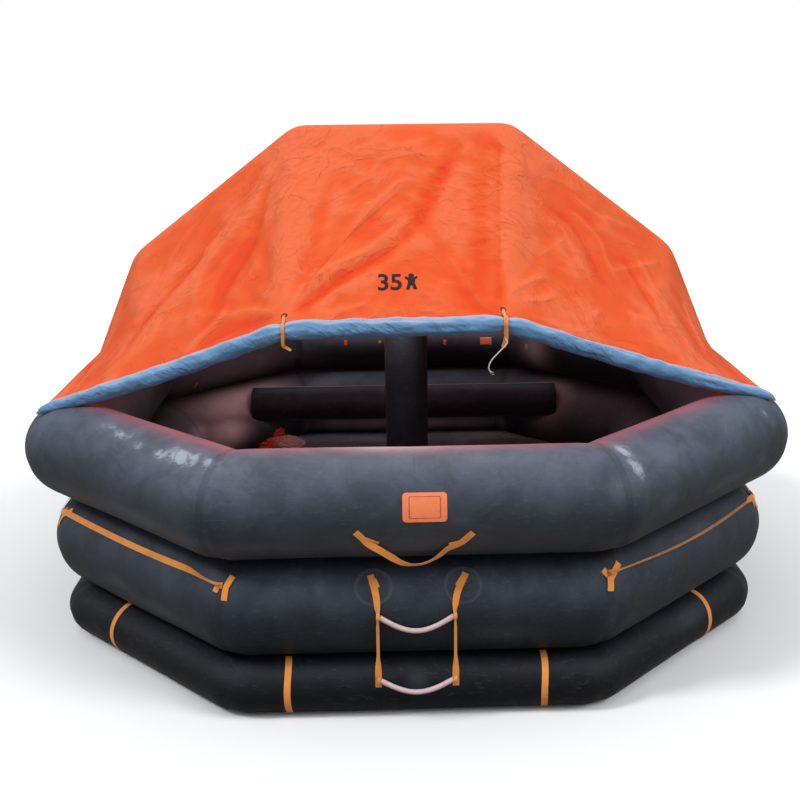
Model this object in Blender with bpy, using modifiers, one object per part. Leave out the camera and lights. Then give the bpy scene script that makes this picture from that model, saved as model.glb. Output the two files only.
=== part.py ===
"""Self-righting life raft for 35 people, blown up and standing on its lowest tube.

Metres, +Z up. The photographed entrance faces -Y, and the origin is on the floor at the raft's centre.
"""

import math

import bmesh
import bpy
from mathutils import Matrix, Vector

# Driving dimensions
UPPER_RADIUS = 0.32
MIDDLE_RADIUS = 0.36
LOWER_RADIUS = 0.18
ACROSS_HALF = 2.26
SIDE_HALF = 1.088
TUBE_FACETS = 24
STACK_LEAN = math.radians(15.0)

FLOOR_THICKNESS = 0.18
FLOOR_EDGE_INSET = 0.06

ARCH_RADIUS = 0.13
ARCH_FACETS = 16
ARCH_SHOULDER = (1.985, 2.488)
ARCH_TOP = (0.779, 3.396)
ARCH_FOOT_DROP = 0.14

PILLAR_RADIUS = 0.162
PILLAR_OVERLAP = 0.06
THWART_RADIUS = 0.15
THWART_HALF = 1.42
THWART_FACETS = 20
THWART_Y = 1.4
THWART_Z = 0.925

CANOPY_THICKNESS = 0.002
CANOPY_ROWS = 5
CANOPY_SAG = 0.03
HEM_END_Y = 1.12
HEM_SHOULDER_SHARE = 0.38
FLANGE_ANGLES = (math.radians(37.5), math.radians(22.5))
SPRING_ANGLE = math.radians(33.75)
RIDGE_ANGLE = math.radians(11.25)
# How many strips lie between the canopy's key points, from the left flange to the right
CANOPY_SPLITS = (1, 1, 3, 5, 5, 5, 3, 1, 1)
# No sag on the flange and the side wall, full sag from the shoulders inward
HALF_SAG = (0, 0, 0, 0, 0, 0.4, 0.7, 0.9, 1, 1, 1, 1, 1)

TIE_LEFT = (-0.785, -1.5, 2.262)
TIE_RIGHT = (0.595, -1.5, 2.284)
TIE_WIDTH = 0.02
TIE_THICKNESS = 0.0015
TIE_CLEAR = 0.0006
TIE_WRAP_ANGLES = (15, 45, 75, 105)
TIE_TAIL = ((0, 0.004, -0.06), (0, 0.012, -0.05))
CORD_RADIUS = 0.004
# The cord's fall below its knot: distance to the right, and down
CORD_FALL = ((0.010, 0.030), (-0.040, 0.085), (-0.088, 0.140), (-0.103, 0.190), (-0.075, 0.230))

ROLL_RADIUS = 0.058
ROLL_TIP_RADIUS = 0.03
ROLL_TIP_FORWARD = 0.055
# Angle on the upper tube and share of the tip radius
ROLL_TIPS = ((38, 0.6), (24, 1.0))
# Share of the way up the hem, share of the full radius, and direction from the hem to the roll's centre
ROLL_RUN = (
    (0.02, 0.72, (0, -1.0, -0.05)),
    (0.08, 0.8, (0, -1.0, -0.2)),
    (0.16, 0.9, (0, -0.75, -0.3)),
    (0.5, 1.0, (0, -0.5, -0.85)),
    (1.0, 1.0, (0, -0.35, -0.94)),
)

WEBBING_WIDTH = 0.04
WEBBING_THICKNESS = 0.003
# How far glued webbing reaches into the tube before it is cut to the tube's faces
SEAT_DEPTH = 0.004
LABEL_WIDTH = 0.25
LABEL_THICKNESS = 0.003
LABEL_MIDDLE_X = 0.052
LABEL_ANGLES = (60.0, 68.0, 76.0, 84.0, 92.0)

# Hand strap: glued ends as X and angle on the tube, and the free loop as X and Z
GRAB_LEFT = ((-0.335, 100.0), (-0.30, 109.0), (-0.262, 119.0))
GRAB_RIGHT = ((0.222, 122.0), (0.268, 114.0), (0.318, 106.0))
GRAB_LOOP = ((-0.19, 1.118), (-0.10, 1.079), (-0.02, 1.066), (0.07, 1.079), (0.15, 1.112))
GRAB_LOOP_FORWARD = 0.235

LADDER_WIDTH = 0.024
LADDER_TAPER_WIDTH = 0.034
LADDER_TOP_X = (-0.252, 0.288)
LADDER_X = (-0.205, 0.222)
LADDER_ANGLES = (49.0, 60.0, 72.0)
LADDER_STAND_OFF = 0.002
LADDER_DROP = 0.16
LADDER_LOW_Z = (0.40, 0.25)
RUNG_RADIUS = 0.016
RUNG_STAND_OFF = 0.0005
RUNG_TIP = 0.012
# Name, height of the ends and sag of each rung
RUNGS = (("upper", 0.69, 0.09), ("lower", 0.30, 0.08))

PATCH_ANGLES = (44.0, 52.0, 60.0, 68.0)
LIFELINE_POINTS = 9
LIFELINE_ANGLE = 53.0
LIFELINE_DIP = 4.0
LIFELINE_SLACK = 0.010
LIFELINE_SEAT = 0.001
LIFELINE_END_GAP = 0.001
LOWER_STRAP_ANGLES = (7.5, 22.5, 37.5, 52.5, 67.5, 82.5, 97.5, 112.5, 127.5, 142.5)
LOWER_STRAP_SEAT = 0.003
LOWER_STRAP_FRONT = 0.77
LOWER_STRAP_DIAGONAL = 0.31

GAP = 0.0003

# Values that follow from them
TURN = math.radians(45.0)
MITRE = 1.0 / math.cos(TURN / 2)
CORNER_SHIFT = math.tan(TURN / 2)
FLAT = math.cos(math.pi / TUBE_FACETS)
ARCH_FLAT = math.cos(math.pi / ARCH_FACETS)

UPPER_TO_MIDDLE = (UPPER_RADIUS + MIDDLE_RADIUS) * FLAT + GAP
MIDDLE_TO_LOWER = (MIDDLE_RADIUS + LOWER_RADIUS) * FLAT + GAP
LOWER_Z = LOWER_RADIUS * FLAT
MIDDLE_Z = LOWER_Z + MIDDLE_TO_LOWER * math.cos(STACK_LEAN)
UPPER_Z = MIDDLE_Z + UPPER_TO_MIDDLE * math.cos(STACK_LEAN)
MIDDLE_HALF = ACROSS_HALF - UPPER_TO_MIDDLE * math.sin(STACK_LEAN)
LOWER_HALF = MIDDLE_HALF + MIDDLE_TO_LOWER * math.sin(STACK_LEAN)
FLOOR_BOTTOM = LOWER_Z + LOWER_RADIUS * FLAT + GAP
FLOOR_TOP = FLOOR_BOTTOM + FLOOR_THICKNESS

# Each tube as its radius, half width across flats on its centre line, and height
UPPER = (UPPER_RADIUS, ACROSS_HALF, UPPER_Z)
MIDDLE = (MIDDLE_RADIUS, MIDDLE_HALF, MIDDLE_Z)
LOWER = (LOWER_RADIUS, LOWER_HALF, LOWER_Z)

RAFT = "self_righting_life_raft"
HALF_TURN = math.pi


def clear_scene():
    for obj in list(bpy.data.objects):
        bpy.data.objects.remove(obj, do_unlink=True)


def collection(name):
    made = bpy.data.collections.new(name)
    bpy.context.scene.collection.children.link(made)
    return made


def material(name, colour, roughness, metallic=0.0):
    made = bpy.data.materials.new(name)
    made.use_nodes = True
    shader = made.node_tree.nodes["Principled BSDF"]
    shader.inputs["Base Color"].default_value = (*colour, 1.0)
    shader.inputs["Roughness"].default_value = roughness
    shader.inputs["Metallic"].default_value = metallic
    return made


def object_from_bmesh(bm, name, where, finish=None):
    mesh = bpy.data.meshes.new(name)
    bmesh.ops.recalc_face_normals(bm, faces=bm.faces)
    bm.to_mesh(mesh)
    bm.free()
    obj = bpy.data.objects.new(name, mesh)
    where.objects.link(obj)
    if finish:
        mesh.materials.append(finish)
        mesh.shade_smooth()
        mesh.set_sharp_from_angle(angle=math.radians(40.0))
    return obj


def copy_turned(obj, name, angle):
    """A second object on the same mesh, turned about the raft's centre."""
    other = bpy.data.objects.new(name, obj.data)
    other.rotation_euler.z = angle
    obj.users_collection[0].objects.link(other)
    return other


def make_cutter(obj):
    obj.hide_render = True
    obj.display_type = "WIRE"
    return obj


def cut(obj, *cutters):
    for cutter in cutters:
        step = obj.modifiers.new("seat_on_" + cutter.name, "BOOLEAN")
        step.operation = "DIFFERENCE"
        step.solver = "EXACT"
        step.object = cutter
    return obj


def apply_modifiers(obj):
    """Bakes the modifiers, so that turned copies can share the finished mesh."""
    graph = bpy.context.evaluated_depsgraph_get()
    mesh = bpy.data.meshes.new_from_object(obj.evaluated_get(graph))
    obj.modifiers.clear()
    obj.data = mesh
    return obj


def side_length_half(half):
    return SIDE_HALF - (ACROSS_HALF - half) * CORNER_SHIFT


def corner_points(half):
    """The eight corners of a tube's centre line, from the front right, anticlockwise."""
    side = side_length_half(half)
    return [
        (side, -half), (half, -side), (half, side), (side, half),
        (-side, half), (-half, side), (-half, -side), (-side, -half),
    ]


def section_loop(bm, centre, outward, up, radius, facets, stretch):
    """A mitred section: a polygon with a flat on top, stretched along the corner's bisector."""
    frame = Matrix((outward * stretch, up, outward.cross(up))).transposed().to_4x4()
    turn = Matrix.Rotation(math.pi / facets, 4, "Z")
    place = Matrix.Translation(centre) @ frame @ turn
    return bmesh.ops.create_circle(bm, segments=facets, radius=radius, matrix=place)["verts"]


def loop_edges(verts):
    chosen = set(verts)
    return [e for e in {e for v in verts for e in v.link_edges} if set(e.verts) <= chosen]


def tube_ring(name, tube, where, finish=None, grow=0.0):
    """An eight-sided inflated tube, closed on itself through its eight mitre seams."""
    radius, half, height = tube
    radius += grow / FLAT
    bm = bmesh.new()
    loops = []
    for index, (x, y) in enumerate(corner_points(half)):
        angle = math.radians(-67.5) + TURN * index
        outward = Vector((math.cos(angle), math.sin(angle), 0))
        centre = Vector((x, y, height))
        loops.append(section_loop(bm, centre, outward, Vector((0, 0, 1)), radius, TUBE_FACETS, MITRE))
    edges = [loop_edges(loop) for loop in loops]
    for index in range(8):
        bmesh.ops.bridge_loops(bm, edges=edges[index - 1] + edges[index])
    return object_from_bmesh(bm, name, where, finish)


def arch_centre_line(inset):
    """The half-octagon arch in the plane Y = 0: the canopy's line moved in by inset."""
    foot_x, foot_z = arch_foot()
    points = [Vector((foot_x, foot_z)), Vector(ARCH_SHOULDER), Vector(ARCH_TOP), Vector((0.0, ARCH_TOP[1]))]
    moved = []
    for index, point in enumerate(points[:3]):
        ahead = (points[index + 1] - point).normalized()
        behind = (point - points[index - 1]).normalized() if index else ahead
        normals = [Vector((d.y, -d.x)) for d in (behind, ahead)]
        bisector = (normals[0] + normals[1]).normalized()
        cosine = bisector.dot(normals[1])
        moved.append((point - bisector * inset / cosine, bisector, cosine))
    return moved


def arch_foot():
    """Where the canopy's side wall meets the upper tube, on the middle of its 15 degree facet."""
    reach = UPPER_RADIUS * FLAT + GAP
    return ACROSS_HALF + reach * math.sin(STACK_LEAN), UPPER_Z + reach * math.cos(STACK_LEAN)


def arch_stations(inset):
    """Centre, outward direction and stretch of each arch section, from the right foot over to the left."""
    right = []
    for index, (point, bisector, cosine) in enumerate(arch_centre_line(inset)):
        if index == 0:
            line = (Vector(ARCH_SHOULDER) - Vector(arch_foot())).normalized()
            point = point - line * ARCH_FOOT_DROP
        right.append((Vector((point.x, 0, point.y)), Vector((bisector.x, 0, bisector.y)), 1.0 / cosine))
    flip = Vector((-1, 1, 1))
    left = [(centre * flip, outward * flip, stretch) for centre, outward, stretch in reversed(right)]
    return right + left


def arch_tube(name, where, finish=None, grow=0.0):
    """The inflated arch that holds the canopy, with its feet reaching down to the upper tube."""
    radius = ARCH_RADIUS + grow / ARCH_FLAT
    bm = bmesh.new()
    loops = []
    for centre, outward, stretch in arch_stations(ARCH_RADIUS * ARCH_FLAT + GAP):
        loops.append(section_loop(bm, centre, outward, Vector((0, 1, 0)), radius, ARCH_FACETS, stretch))
    edges = [loop_edges(loop) for loop in loops]
    for index in range(1, len(edges)):
        bmesh.ops.bridge_loops(bm, edges=edges[index - 1] + edges[index])
    bmesh.ops.holes_fill(bm, edges=edges[0] + edges[-1], sides=0)
    return object_from_bmesh(bm, name, where, finish)


def cylinder(name, radius, start, end, where, finish, facets=TUBE_FACETS):
    """A plain inflated column from start to end."""
    bm = bmesh.new()
    line = Vector(end) - Vector(start)
    turn = line.to_track_quat("Z", "Y").to_matrix().to_4x4()
    place = Matrix.Translation((Vector(start) + Vector(end)) / 2) @ turn
    spin = Matrix.Rotation(math.pi / facets, 4, "Z")
    bmesh.ops.create_cone(
        bm, cap_ends=True, segments=facets, radius1=radius, radius2=radius, depth=line.length,
        matrix=place @ spin,
    )
    return object_from_bmesh(bm, name, where, finish)


def grid_sheet(name, rows, thickness, where, finish, offset=1.0):
    """A sheet of cloth or webbing: an open grid of points with Solidify."""
    mesh = bpy.data.meshes.new(name)
    count = len(rows[0])
    points = [tuple(p) for row in rows for p in row]
    faces = []
    for r in range(len(rows) - 1):
        for c in range(count - 1):
            first = r * count + c
            faces.append((first, first + 1, first + 1 + count, first + count))
    mesh.from_pydata(points, [], faces)
    mesh.materials.append(finish)
    obj = bpy.data.objects.new(name, mesh)
    where.objects.link(obj)
    shell = obj.modifiers.new("thickness", "SOLIDIFY")
    shell.thickness = thickness
    shell.offset = offset
    shell.use_even_offset = True
    return obj


def ribbon(name, path, sides, width, where, finish, thickness, offset):
    """Webbing along a path; sides holds the direction across it at each point."""
    rows = []
    for point, side in zip(path, sides):
        rows.append([point - side * width / 2, point + side * width / 2])
    return grid_sheet(name, rows, thickness, where, finish, offset)


def cord_tube(name, points, radius, where, finish, resolution=2, radii=None):
    """A round cord or roll as a curve object through its points, with filled caps."""
    curve = bpy.data.curves.new(name, "CURVE")
    curve.dimensions = "3D"
    curve.bevel_depth = radius
    curve.bevel_resolution = resolution
    curve.use_fill_caps = True
    spline = curve.splines.new("POLY")
    spline.points.add(len(points) - 1)
    for index, (knot, point) in enumerate(zip(spline.points, points)):
        knot.co = (*point, 1.0)
        knot.radius = radii[index] if radii else 1.0
    curve.materials.append(finish)
    obj = bpy.data.objects.new(name, curve)
    where.objects.link(obj)
    return obj


def as_mesh_object(obj):
    """A curve made into a mesh with welded caps, so that it can be cut."""
    graph = bpy.context.evaluated_depsgraph_get()
    mesh = bpy.data.meshes.new_from_object(obj.evaluated_get(graph))
    bm = bmesh.new()
    bm.from_mesh(mesh)
    bmesh.ops.remove_doubles(bm, verts=bm.verts, dist=0.00001)
    bmesh.ops.recalc_face_normals(bm, faces=bm.faces)
    bm.to_mesh(mesh)
    bm.free()
    made = bpy.data.objects.new(obj.name + "_mesh", mesh)
    made.matrix_world = obj.matrix_world
    obj.users_collection[0].objects.link(made)
    name = obj.name
    bpy.data.objects.remove(obj, do_unlink=True)
    made.name = name
    return made


def smooth_path(points, steps):
    """Points along a Catmull-Rom curve through the given ones."""
    knots = [Vector(p) for p in points]
    knots = [knots[0] * 2 - knots[1], *knots, knots[-1] * 2 - knots[-2]]
    made = []
    for a, b, c, d in zip(knots, knots[1:], knots[2:], knots[3:]):
        for step in range(steps):
            t = step / steps
            made.append(
                0.5 * (2 * b + (c - a) * t + (2 * a - 5 * b + 4 * c - d) * t * t
                       + (3 * b - 3 * c + d - a) * t * t * t)
            )
    made.append(knots[-2])
    return made


def on_tube(tube, side, along, angle_deg, stand_off=0.0):
    """A point on a tube: side 0 is the front, then anticlockwise; the angle runs outward from the top."""
    radius, half, height = tube
    turn = math.radians(-90.0) + TURN * side
    outward = Vector((math.cos(turn), math.sin(turn), 0))
    forward = Vector((-outward.y, outward.x, 0))
    lateral = half if side % 2 == 0 else (half + side_length_half(half)) * math.cos(TURN)
    angle = math.radians(angle_deg)
    reach = radius + stand_off
    point = outward * (lateral + reach * math.sin(angle)) + forward * along
    return point + Vector((0, 0, height + reach * math.cos(angle)))


def side_half(tube, side, angle_deg, stand_off=0.0):
    """Half the length of one side of a tube, out to the mitre seam, at that angle."""
    radius, half, _ = tube
    straight = side_length_half(half)
    flat = straight if side % 2 == 0 else (half - straight) / math.sqrt(2)
    return flat + (radius + stand_off) * math.sin(math.radians(angle_deg)) * CORNER_SHIFT


def canopy_half_rows():
    """The front half of the canopy's grid, row by row from the front hem up to the ridge."""
    reach = UPPER_RADIUS + GAP / FLAT
    foot = Vector(arch_foot())
    facet_normal = Vector((math.sin(STACK_LEAN), math.cos(STACK_LEAN)))
    flange = []
    for angle in FLANGE_ANGLES:
        flange.append(Vector((ACROSS_HALF + reach * math.sin(angle), UPPER_Z + reach * math.cos(angle))))
    arch_reach = ARCH_RADIUS + GAP / ARCH_FLAT
    shoulder, top = (point for point, _, _ in arch_centre_line(0.0)[1:])
    wall = shoulder - foot

    def arch_keys(inset, y):
        """The key points of one row that lies on the arch, for the side at +X."""
        low_shoulder, low_top = (point for point, _, _ in arch_centre_line(inset)[1:])
        along = (foot - low_shoulder).dot(facet_normal) / wall.dot(facet_normal)
        low = low_shoulder + wall * along
        return [Vector((p.x, y, p.y)) for p in (*flange, low, low_shoulder, low_top)]

    def hem_keys(tie, sign):
        """The key points of the hem for one side; the shoulder's crease meets it part of the way up."""
        ends = [Vector((p.x * sign, -HEM_END_Y, p.y)) for p in (*flange, foot)]
        return [*ends, ends[-1].lerp(Vector(tie), HEM_SHOULDER_SHARE), Vector(tie)]

    def row_from(left, right):
        """Splits the stretches between key points evenly, from the left flange to the right."""
        keys = [*left, *reversed(right)]
        row = []
        for a, b, count in zip(keys, keys[1:], CANOPY_SPLITS):
            row += [a.lerp(b, step / count) for step in range(count)]
        return [*row, keys[-1]]

    def arch_row(inset, y):
        keys = arch_keys(inset, y)
        return row_from([Vector((-p.x, p.y, p.z)) for p in keys], keys)

    weights = [*HALF_SAG, *reversed(HALF_SAG)]
    spring_inset = arch_reach * (ARCH_FLAT - math.cos(SPRING_ANGLE))
    on_arch = arch_row(spring_inset, -arch_reach * math.sin(SPRING_ANGLE))
    hem = row_from(hem_keys(TIE_LEFT, -1), hem_keys(TIE_RIGHT, 1))
    rows = []
    for step in range(CANOPY_ROWS):
        t = step / CANOPY_ROWS
        sag = CANOPY_SAG * math.sin(math.pi * t)
        rows.append([a.lerp(b, t) - Vector((0, 0, sag * w)) for a, b, w in zip(hem, on_arch, weights)])
    ridge_edge = arch_row(0.0, -arch_reach * math.sin(RIDGE_ANGLE))
    return [*rows, on_arch, ridge_edge, arch_row(0.0, -GAP / 2)]


def roll_path():
    """The rolled-up curtain under the front hem: centre points and radii, from left tip to right tip."""
    foot_x, foot_z = arch_foot()

    def half_path(tie, sign):
        hem_end = Vector((foot_x * sign, -HEM_END_Y, foot_z))
        tie = Vector(tie)
        made = []
        for angle, share in ROLL_TIPS:
            lean = math.radians(angle)
            radius = share * ROLL_TIP_RADIUS
            reach = UPPER_RADIUS + 0.5 * radius
            x = ACROSS_HALF + reach * math.sin(lean)
            z = UPPER_Z + reach * math.cos(lean)
            made.append((Vector((x * sign, -HEM_END_Y - ROLL_TIP_FORWARD, z)), radius))
        for along, share, away in ROLL_RUN:
            radius = share * ROLL_RADIUS
            offset = Vector(away).normalized() * (1.04 * radius + 0.001)
            made.append((hem_end.lerp(tie, along) + offset, radius))
        return made

    left = half_path(TIE_LEFT, -1)
    right = half_path(TIE_RIGHT, 1)
    both = [*left, *reversed(right)]
    return [p for p, _ in both], [r / ROLL_RADIUS for _, r in both]


def tie_strap_path(tie):
    """A tie from its eyelet in the canopy over the front of the roll, hanging below it."""
    tie = Vector(tie)
    up_slope = Vector((0, 0.8, 0.6))
    outward = Vector((0, -0.6, 0.8))
    clear = CANOPY_THICKNESS + TIE_CLEAR
    centre = tie + Vector((0, -0.35, -0.94)).normalized() * (ROLL_RADIUS + 0.001)
    path = [tie + up_slope * 0.06 + outward * clear, tie + up_slope * 0.006 + outward * clear]
    for angle in TIE_WRAP_ANGLES:
        lean = math.radians(angle)
        reach = ROLL_RADIUS + 2 * TIE_THICKNESS
        path.append(centre + Vector((0, -math.sin(lean), math.cos(lean))) * reach)
    for step in TIE_TAIL:
        path.append(path[-1] + Vector(step))
    return path


def tie_straps(where, finish):
    """The straps that hold each rolled curtain up, one through each eyelet."""
    for label, other, tie in (("left", "right", TIE_LEFT), ("right", "left", TIE_RIGHT)):
        path = tie_strap_path(tie)
        sides = [Vector((1, 0, 0))] * len(path)
        strap = apply_modifiers(
            ribbon("tie_strap_front_" + label, path, sides, TIE_WIDTH, where, finish, TIE_THICKNESS, -1.0)
        )
        copy_turned(strap, "tie_strap_rear_" + other, HALF_TURN)


def label_plate(where, finish, seat):
    """The bare label panel glued on the front of the upper tube."""
    half = Vector((LABEL_WIDTH / 2, 0, 0))
    rows = []
    for angle in LABEL_ANGLES:
        middle = on_tube(UPPER, 0, LABEL_MIDDLE_X, angle, -SEAT_DEPTH)
        rows.append([middle - half, middle + half])
    panel = grid_sheet("label_panel", rows, LABEL_THICKNESS + SEAT_DEPTH, where, finish, -1.0)
    return cut(panel, seat)


def grab_strap(where, finish, seat):
    """The looped hand strap on the upper tube, glued at both ends and hanging free between them."""
    path = [on_tube(UPPER, 0, x, angle, -SEAT_DEPTH) for x, angle in GRAB_LEFT]
    path += [Vector((x, -ACROSS_HALF - GRAB_LOOP_FORWARD, z)) for x, z in GRAB_LOOP]
    path += [on_tube(UPPER, 0, x, angle, -SEAT_DEPTH) for x, angle in GRAB_RIGHT]
    sides = []
    for index, point in enumerate(path):
        ahead = path[min(index + 1, len(path) - 1)]
        behind = path[max(index - 1, 0)]
        along = (ahead - behind).normalized()
        radial = Vector((0, point.y + ACROSS_HALF, point.z - UPPER_Z)).normalized()
        sides.append(along.cross(radial).normalized())
    thickness = WEBBING_THICKNESS + SEAT_DEPTH
    strap = ribbon("grab_strap_front", path, sides, WEBBING_WIDTH, where, finish, thickness, 1.0)
    strap = apply_modifiers(cut(strap, seat))
    copy_turned(strap, "grab_strap_rear", HALF_TURN)


def ladder_strap(name, x_top, x_low, where, finish, seat):
    """One side of the boarding ladder: glued to the middle tube, then hanging straight down."""
    across = Vector((1, 0, 0))
    glued_x = (x_top, (x_top + x_low) / 2, x_low)
    path = [on_tube(MIDDLE, 0, x, angle, -SEAT_DEPTH) for x, angle in zip(glued_x, LADDER_ANGLES)]
    front = -MIDDLE_HALF - MIDDLE_RADIUS - LADDER_STAND_OFF
    heights = (MIDDLE_Z, MIDDLE_Z - LADDER_DROP, *LADDER_LOW_Z)
    path += [Vector((x_low, front, z)) for z in heights]
    widths = (WEBBING_WIDTH, WEBBING_WIDTH, LADDER_TAPER_WIDTH, *[LADDER_WIDTH] * len(heights))
    rows = [[p - across * w / 2, p + across * w / 2] for p, w in zip(path, widths)]
    strap = grid_sheet(name, rows, WEBBING_THICKNESS + SEAT_DEPTH, where, finish, -1.0)
    return apply_modifiers(cut(strap, seat))


def boarding_ladder(where, webbing, rung_finish, seat):
    """The two straps and two rungs of the ladder at each entrance."""
    for label, other, x_top, x_low in zip(("left", "right"), ("right", "left"), LADDER_TOP_X, LADDER_X):
        strap = ladder_strap("ladder_strap_front_" + label, x_top, x_low, where, webbing, seat)
        copy_turned(strap, "ladder_strap_rear_" + other, HALF_TURN)
    front = -MIDDLE_HALF - MIDDLE_RADIUS - RUNG_STAND_OFF - RUNG_RADIUS
    start = LADDER_X[0] + LADDER_WIDTH / 2 + 2 * GAP
    end = LADDER_X[1] - LADDER_WIDTH / 2 - 2 * GAP
    for level, height, sag in RUNGS:
        points = [Vector((start, front, height))]
        for step in range(13):
            t = step / 12
            x = start + RUNG_TIP + (end - start - 2 * RUNG_TIP) * t
            points.append(Vector((x, front, height - sag * math.sin(math.pi * t))))
        points.append(Vector((end, front, height)))
        rung = cord_tube("ladder_rung_front_" + level, points, RUNG_RADIUS, where, rung_finish, 3)
        rung = as_mesh_object(rung)
        copy_turned(rung, "ladder_rung_rear_" + level, HALF_TURN)


def corner_patch(name, side, where, finish, seat):
    """A webbing patch folded over a mitre seam of the middle tube, where a lifeline is anchored."""
    rows = []
    for angle in PATCH_ANGLES:
        end = side_half(MIDDLE, side, angle, -SEAT_DEPTH)
        fold = on_tube(MIDDLE, side, end, angle, -SEAT_DEPTH)
        before = on_tube(MIDDLE, side, end - WEBBING_WIDTH / 2, angle, -SEAT_DEPTH)
        start = side_half(MIDDLE, side + 1, angle, -SEAT_DEPTH)
        after = on_tube(MIDDLE, side + 1, WEBBING_WIDTH / 2 - start, angle, -SEAT_DEPTH)
        rows.append([before, fold, after])
    patch = grid_sheet(name, rows, WEBBING_THICKNESS + SEAT_DEPTH, where, finish, -1.0)
    return cut(patch, seat)


def lifeline(name, side, where, finish, seat):
    """Webbing along one side of the middle tube, between two corner patches."""
    half_angle = math.degrees(0.5 * WEBBING_WIDTH / MIDDLE_RADIUS)
    rows = []
    for step in range(LIFELINE_POINTS):
        t = step / (LIFELINE_POINTS - 1)
        slack = math.sin(math.pi * t)
        angle = LIFELINE_ANGLE + LIFELINE_DIP * slack
        stand_off = LIFELINE_SLACK * slack - LIFELINE_SEAT
        edges = []
        for edge_angle in (angle + half_angle, angle - half_angle):
            end = side_half(MIDDLE, side, edge_angle, -SEAT_DEPTH) - WEBBING_WIDTH / 2 - LIFELINE_END_GAP
            edges.append(on_tube(MIDDLE, side, end * (2 * t - 1), edge_angle, stand_off))
        rows.append(edges)
    line = grid_sheet(name, rows, WEBBING_THICKNESS + LIFELINE_SEAT, where, finish, -1.0)
    return cut(line, seat)


def lower_strap(name, side, along, where, finish, seat):
    """A strap over the outer half of the lower tube, up into the seam under the middle tube."""
    edges = (along - WEBBING_WIDTH / 2, along + WEBBING_WIDTH / 2)
    rows = []
    for angle in LOWER_STRAP_ANGLES:
        rows.append([on_tube(LOWER, side, edge, angle, -LOWER_STRAP_SEAT) for edge in edges])
    strap = grid_sheet(name, rows, WEBBING_THICKNESS + LOWER_STRAP_SEAT, where, finish, -1.0)
    return cut(strap, seat)


def floor_mattress(where, finish, seat):
    """The blown-up floor: an eight-sided pad whose edge is seated on the flank of the middle tube."""
    half = MIDDLE_HALF - FLOOR_EDGE_INSET
    bm = bmesh.new()
    ring = []
    for x, y in corner_points(half):
        ring.append(bm.verts.new((x, y, FLOOR_BOTTOM)))
    bottom = bm.faces.new(ring)
    raised = bmesh.ops.extrude_face_region(bm, geom=[bottom])["geom"]
    top = [v for v in raised if isinstance(v, bmesh.types.BMVert)]
    bmesh.ops.translate(bm, verts=top, vec=(0, 0, FLOOR_THICKNESS))
    pad = object_from_bmesh(bm, "floor_mattress", where, finish)
    return cut(pad, seat)


def tie_cord(where, finish):
    """The thin cord knotted to the right-hand tie, hanging in the entrance."""
    knot = tie_strap_path(TIE_RIGHT)[-2] - Vector((0, TIE_THICKNESS + CORD_RADIUS + 2 * GAP, 0))
    route = [knot]
    for across, down in CORD_FALL:
        route.append(knot + Vector((across, 0, -down)))
    return cord_tube("tie_cord_front_right", smooth_path(route, 4), CORD_RADIUS, where, finish, 2)


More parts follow.
